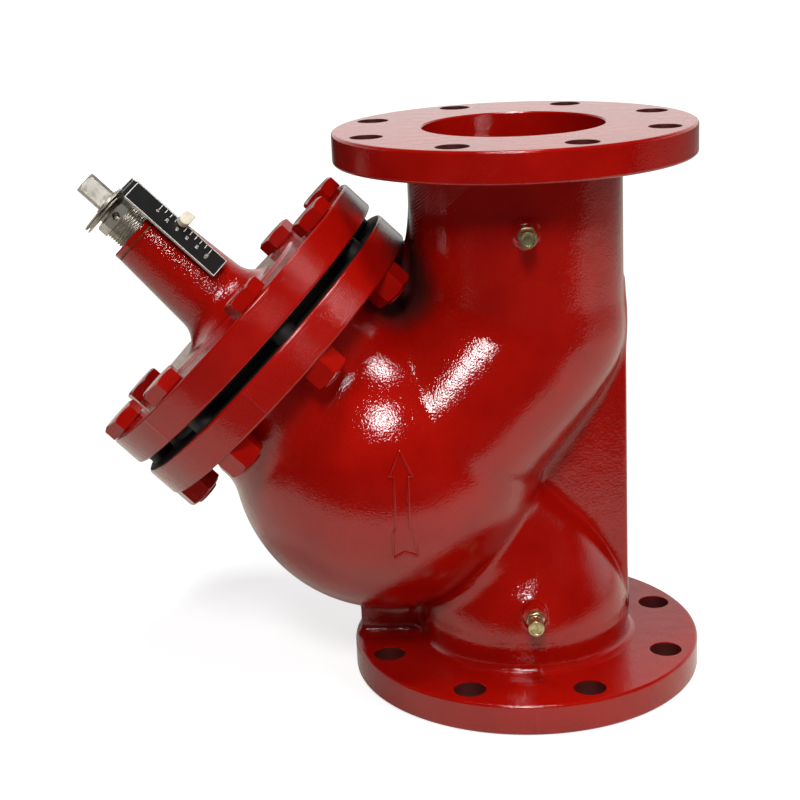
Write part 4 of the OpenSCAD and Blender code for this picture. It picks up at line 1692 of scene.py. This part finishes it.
@dataclass
class PositionScale:
    """The bent scale plate with its ticks and numbers, and the peg that points at them."""

    turn: float = -43.0
    plate_w: float = 17.2
    plate_t: float = 1.5
    plate_l: float = 88.0
    offset: float = 33.0
    strap_w: float = 14.0
    ring_r: float = 22.0
    bore_r: float = 10.05
    ring_low: float = 404.579
    zero_station: float = 377.48
    full_lift: float = 46.0
    parts: int = 10
    tick_l: float = 4.6
    short_tick: float = 0.72
    tick_w: float = 0.55
    print_h: float = 0.06
    peg_station: float = 359.479
    peg_side: float = 11.15
    peg_r: float = 2.25
    peg_head: tuple[float, float, float] = (11.0, 8.8, 6.0)
    peg_root: float = 20.9

    @property
    def top(self) -> float:
        """Gives the station of the plate's upper face."""
        return self.ring_low + self.plate_t

    @property
    def face(self) -> float:
        """Gives the distance from the stem's axis to the plate's outer face."""
        return self.offset + self.plate_t

    def plate(self) -> Solid:
        """Cuts and bends the plate.

        Returns:
            The plate in the bonnet's frame, turned to face +X.
        """
        half, strap, low = self.plate_w / 2, self.strap_w / 2, self.top - self.plate_l
        bend, steps = 2.6, 8
        shoulder, high = self.top - 4.0, self.top - bend
        side = [(low, half, 1.8), (shoulder, half, 1.6), (shoulder, strap, 0.4), (high, strap)]
        corners = [(a, -b, *radius) for a, b, *radius in side] + side[::-1]
        outline = [(b, a) for a, b in rounded(corners)]
        leaf = prism(outline, self.offset, self.face).placed(spin(90) @ spin(90, "X"))
        outer, inner = [], []
        for k in range(steps + 1):
            angle = math.pi / 2 * k / steps
            for r, row in ((bend, outer), (bend - self.plate_t, inner)):
                row.append((self.face - bend + r * math.sin(angle), high + r * math.cos(angle)))
        section = [(0.0, self.ring_low), (0.0, self.top), *outer]
        section += [(self.face, high - 0.5), (self.offset, high - 0.5), *inner[::-1]]
        neck = prism(section, -strap, strap).placed(spin(90, "X"))
        ring = rod(self.ring_r, self.ring_low, self.top, 128)
        hole = rod(self.bore_r, self.ring_low - 1, self.top + 1, 64)
        return (leaf + neck + ring) - hole

    def mark(self, low: float, high: float, side_a: float, side_b: float) -> Solid:
        """Prints one bar on the plate's face.

        Args:
            low: Its lower station.
            high: Its upper station.
            side_a: Where it starts across the plate.
            side_b: Where it ends.

        Returns:
            The bar.
        """
        outline = [(self.face - 0.05, side_a), (self.face + self.print_h, side_a)]
        outline += [(self.face + self.print_h, side_b), (self.face - 0.05, side_b)]
        return prism(outline, low, high)

    def ticks(self) -> Solid:
        """Prints the eleven ticks.

        Returns:
            The ticks.
        """
        edge = self.plate_w / 2 - 1.5
        bars = []
        for i in range(self.parts + 1):
            station = self.zero_station - self.full_lift * i / self.parts
            length = self.tick_l if i % 5 == 0 else self.tick_l * self.short_tick
            low = station - self.tick_w / 2
            bars.append(self.mark(low, low + self.tick_w, edge - length, edge))
        return Solid.group(bars)

    def border(self) -> Solid:
        """Prints the thin frame round the plate's face.

        Returns:
            The frame.
        """
        line, inset = 0.55, 0.35
        side = self.plate_w / 2 - inset
        low, high = self.top - self.plate_l + inset, self.top - 5.0
        bars = [
            self.mark(low, low + line, -side, side),
            self.mark(high - line, high, -side, side),
            self.mark(low + line, high - line, -side, -side + line),
            self.mark(low + line, high - line, side - line, side),
        ]
        return Solid.group(bars)

    def numbers(self) -> Solid:
        """Prints plain numbers from 0 to 100 beside every second tick.

        Returns:
            The numbers.
        """
        solids = []
        height = 3.1
        for i in range(0, self.parts + 1, 2):
            letters = bpy.data.curves.new("number", "FONT")
            letters.body = str(100 * i // self.parts)
            letters.size = height
            letters.align_x = "RIGHT"
            letters.align_y = "CENTER"
            letters.extrude = self.print_h
            mesh = taken(show("number", letters))
            station = self.zero_station - self.full_lift * i / self.parts
            side = self.plate_w / 2 - self.tick_l - 2.2
            mesh.transform(move(self.face, side, station) @ spin(90) @ spin(90, "X"))
            solids.append(Solid(mesh))
        return Solid.group(solids)

    def peg(self) -> Solid:
        """Moulds the peg: a round shank and an oblong head with one pointed corner.

        Returns:
            The peg in the plate's turned frame.
        """
        long, wide, high = self.peg_head
        near, point, edge = self.face + 0.3, 0.8, 0.7
        r = wide / 2 - 0.01
        corners = [(-long / 2, -wide / 2, point), (long / 2, -wide / 2, r)]
        corners += [(long / 2, wide / 2, r), (-long / 2, wide / 2, r)]
        outline = [(-b, -a) for a, b in rounded(corners, 9)]
        head = prism(outline, 0, high)
        with reshaped(head.mesh) as work:
            rims = [e for e in work.edges if abs(e.verts[0].co.z - e.verts[1].co.z) < 1e-4]
            bmesh.ops.bevel(work, geom=rims, offset=edge, segments=4, profile=0.5, affect="EDGES")
        shift = (2 * self.peg_r - wide) / 2
        stand = move(near, self.peg_side + shift, self.peg_station) @ spin(90, "Y")
        shank = rod(self.peg_r, self.peg_root, near + 1, 40)
        lay = move(0, self.peg_side, self.peg_station) @ spin(90, "Y")
        return head.placed(stand) + shank.placed(lay)

    def build(self) -> None:
        """Makes the plate, its print and the peg."""
        stand = BONNET.matrix(self.turn)
        coat = ScaleCoat("scale_coat", self.plate_w / 2, self.turn)
        body, slot = "scale_carrier", "scale_black"
        self.plate().piece("bent_scale", coat, body, slot, stand, ["scale_plate"])
        self.ticks().piece("scale_ticks", INK, body, slot, stand)
        self.border().piece("scale_border", INK, body, slot, stand)
        self.numbers().piece("scale_numbers", INK, body, slot, stand)
        self.peg().piece("pointing_peg", NYLON, "casing", "nylon", stand, ["indicator_peg"])


@dataclass
class TestPlugs:
    """The two brass test plugs on the near side, with their seals and knurled caps."""

    heights: tuple[float, float] = (65.0, 337.0)
    turns: tuple[float, float] = (12.0, 0.0)
    side: float = 5.5
    pad: float = 77.5
    thread_r: float = 4.8
    root: float = 63.5
    flats: float = 11.6
    body_h: float = 7.0
    stub_r: float = 3.8
    seal_t: float = 1.2
    cap_r: float = 5.6
    cap_h: float = 12.0

    def body(self) -> Solid:
        """Makes the hexagonal body with its threaded root and its stub.

        Returns:
            The body.
        """
        corners = [(0, self.root), (self.thread_r, self.root), (self.thread_r, self.pad + 1)]
        root = lathe([*corners, (0, self.pad + 1)], 48)
        head = hexagon(self.flats, self.pad, self.pad + self.body_h, 0.8)
        top = self.pad + self.body_h + self.seal_t + self.cap_h / 2
        neck = rod(self.stub_r, self.pad + self.body_h - 1, top, 48)
        return root + head + neck

    def cap(self) -> Solid:
        """Turns the cap, knurls its side and dishes its end.

        Returns:
            The cap.
        """
        low = self.pad + self.body_h + self.seal_t
        high, r = low + self.cap_h, self.cap_r
        corners = [(0, low), (r, low, 0.6), (r, low + 2.2, 0.3), (r - 0.5, low + 2.7, 0.2)]
        corners += [(r - 0.5, high - 2.4, 0.2), (r, high - 1.9, 0.3), (r, high, 0.7)]
        corners += [(r - 1.5, high, 0.2), (r - 1.9, high - 0.5, 0.2), (0, high - 0.7)]
        cap = lathe(rounded(corners, 3), 96)
        teeth = 30
        tooth = [(r - 0.9, -0.32), (r - 0.08, 0.0), (r - 0.9, 0.32)]
        bar = prism(tooth, low + 2.4, high - 2.1)
        ribs = Solid.group(bar.placed(spin(360 * k / teeth)) for k in range(teeth))
        return cap + ribs - rod(self.stub_r + 0.05, low - 1, low + self.cap_h / 2 + 0.05, 48)

    def build(self) -> None:
        """Makes both plugs."""
        stands = [
            move(self.side, 0, height) @ spin(90, "X") @ spin(turn)
            for height, turn in zip(self.heights, self.turns)
        ]
        for name, solid in (("plug_bodies", self.body()), ("plug_caps", self.cap())):
            pair = Solid.group(solid.placed(stand) for stand in stands)
            pair.piece(name, PLUG_BRASS, "casing", "brass", None, [f"test_{name}"], 30)


@dataclass
class InnerPieces:
    """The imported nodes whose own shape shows, each with its finish."""

    finishes: tuple[tuple[str, Finish], ...] = (
        ("seat_ring", BRASS),
        ("bonnet_gasket", SHEET),
        ("valve_disc", BRASS),
        ("disc_seal", RUBBER),
        ("throttling_plug", BRASS),
        ("plug_nut", STEEL),
        ("stem_guide", BRASS),
        ("stem_packing", RUBBER),
        ("packing_gland", BRASS),
        ("bush_shim", DULL_BRASS),
        ("retaining_ring", STEEL),
        ("test_plug_seals", RUBBER),
    )

    def build(self) -> None:
        """Gives each node its finish."""
        for node, finish in self.finishes:
            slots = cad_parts[node].data.materials
            slots.clear()
            slots.append(finish.material())
            log.info("%s: %s", node, finish.name)


@dataclass(frozen=True)
class Lamp:
    """A soft square lamp that faces the object.

    Attributes:
        name: Its name.
        way: The direction from the object to the lamp.
        size: The side of its face in metres.
        power: Its power in watts.
        mirrored: Whether it shows in reflections.
    """

    name: str
    way: Row
    size: float
    power: float
    mirrored: bool = True


@dataclass
class Studio:
    """The camera, the pale floor, the surroundings and the lamps.

    The camera's numbers come from a fit to the photograph's flange ellipses and rims. Each
    pair of the floor, the table, the wall and the hood says where its edge starts and ends,
    on the floor in millimetres and in the world as parts of a direction. The floor's radius
    and depth are in metres. Reflections show the floor as a bright table with dark round it.
    """

    camera_at: tuple[float, float, float] = (-27.19, -1157.56, 555.56)
    pan: float = -4.041
    pitch: float = -14.374
    roll: float = -2.691
    lens: float = 75.043
    shift: Point = (0.0431, -0.0924)
    floor_r: float = 20.0
    floor_t: float = 2.0
    floor_fade: Point = (500.0, 2600.0)
    floor_light: float = 0.72
    floor_greys: Point = (0.56, 0.54)
    floor_cloud: float = 60.0
    table_colour: Colour = (0.84, 0.81, 0.70)
    round_table: float = 0.02
    table_right_end: float = 0.45
    table_near: Point = (-430.0, -370.0)
    table_left: Point = (-1000.0, -700.0)
    table_right: Point = (800.0, 1500.0)
    wall_top: Point = (0.26, 0.46)
    wall_near: Point = (-0.20, 0.30)
    hood_top: Point = (0.45, 0.90)
    hood_near: Point = (0.45, 0.75)
    hood_light: float = 0.70
    right_light: Point = (0.03, 0.45)
    back_light: Point = (0.0, 0.50)
    lamps: tuple[Lamp, ...] = (
        Lamp("key_lamp", (0.0, -0.752, 0.66), 0.60, 40.0),
        Lamp("top_lamp", (0.03, -0.136, 0.99), 0.56, 36.0),
        Lamp("side_lamp", (0.70, -0.35, 0.62), 1.20, 15.0, False),
    )
    aim: tuple[float, float, float] = (-93.0, -86.0, 234.0)
    lamp_distance: float = 2600.0

    def place_camera(self) -> None:
        """Stands the camera at the photograph's viewpoint."""
        turn = spin(-self.pan) @ spin(90 + self.pitch, "X") @ spin(self.roll)
        data = bpy.data.cameras.new("camera")
        data.sensor_width = 36.0
        data.lens = self.lens
        data.shift_x, data.shift_y = self.shift
        data.clip_end = 100.0
        camera = show("camera", data)
        camera.matrix_world = Matrix.Translation(Vector(self.camera_at) * METRES) @ turn
        bpy.context.scene.camera = camera

    def lay_floor(self) -> None:
        """Lays a white floor that keeps the object's shadow."""
        material = bpy.data.materials.new("studio_floor")
        tree = ShaderTree(material)
        seen, mirrored = tree.ray("Camera"), tree.ray("Glossy")
        where = tree.place()
        along = where.part("X")
        table = where.part("Y").ramp(*self.table_near) * along.ramp(*self.table_left)
        table = table * along.ramp(*self.table_right, 1.0, self.table_right_end)
        light, shade, dark = ((grey,) * 3 for grey in (*self.floor_greys, self.round_table))
        paper = tree.blend(tree.noise(where, self.floor_cloud, 3.0) * 0.5, light, shade)
        colour = tree.blend(mirrored, paper, tree.blend(table, dark, self.table_colour))
        diffuse = tree.node("ShaderNodeBsdfDiffuse", {}, {"Color": colour})
        near = seen * where.length().ramp(*self.floor_fade, self.floor_light, 1.0)
        strength = near + mirrored * (table * 0.04 + 0.01)
        glow = tree.node("ShaderNodeEmission", {}, {"Color": (1, 1, 1, 1), "Strength": strength})
        both = tree.node("ShaderNodeAddShader", {}, [diffuse, glow])
        tree.node("ShaderNodeOutputMaterial", {}, {"Surface": both})
        disc = rod(self.floor_r, -self.floor_t, -0.5 * METRES, 64)
        disc.mesh.materials.append(material)
        floor = show("studio_floor", disc.mesh)

    def surround(self) -> None:
        """Fills the world: white low down and behind, dark above the camera."""
        world = bpy.data.worlds.new("studio")
        bpy.context.scene.world = world
        tree = ShaderTree(world)
        way = tree.node("ShaderNodeTexCoord", {}, {}, "Generated")
        seen, mirrored = tree.ray("Camera"), tree.ray("Glossy")
        x, y, z = (way.part(name) for name in "XYZ")
        wall = z.ramp(*self.wall_top, 1.0, 0.0) * y.ramp(*self.wall_near)
        hood = z.ramp(*self.hood_top, 1.0, 0.0) * y.ramp(*self.hood_near)
        bright = wall + hood * (1 - wall) * self.hood_light + 0.02
        side = x.ramp(0.0, 1.0, *self.right_light) + y.ramp(0.1, 1.0, *self.back_light)
        strength = seen + mirrored * bright + (1 - seen - mirrored) * side
        colour = tree.blend(mirrored, (1.0, 1.0, 1.0), (1.0, 0.98, 0.95))
        back = tree.node("ShaderNodeBackground", {}, {"Color": colour, "Strength": strength})
        tree.node("ShaderNodeOutputWorld", {}, {"Surface": back})

    def hang(self, lamp: Lamp) -> None:
        """Hangs one lamp.

        Args:
            lamp: The lamp.
        """
        data = bpy.data.lights.new(lamp.name, "AREA")
        data.shape = "SQUARE"
        data.size = lamp.size
        data.energy = lamp.power
        item = show(lamp.name, data)
        toward = Vector(lamp.way).normalized()
        item.location = (Vector(self.aim) + toward * self.lamp_distance) * METRES
        item.rotation_euler = toward.to_track_quat("Z", "Y").to_euler()
        item.visible_glossy = lamp.mirrored

    def build(self) -> None:
        """Sets up the whole studio."""
        bpy.context.scene.view_settings.view_transform = "Standard"
        self.place_camera()
        self.lay_floor()
        self.surround()
        for lamp in self.lamps:
            self.hang(lamp)
        log.info("studio is ready")


def main() -> None:
    """Builds the sub-assemblies in order and then the studio."""
    logging.basicConfig(level=logging.INFO, format="%(message)s")
    for assembly in (
        CastBody(),
        BonnetCover(),
        JointFasteners(),
        StemDrive(),
        PositionScale(),
        TestPlugs(),
        InnerPieces(),
        Studio(),
    ):
        log.info("building %s", type(assembly).__name__)
        assembly.build()


if __name__ == "__main__":
    main()
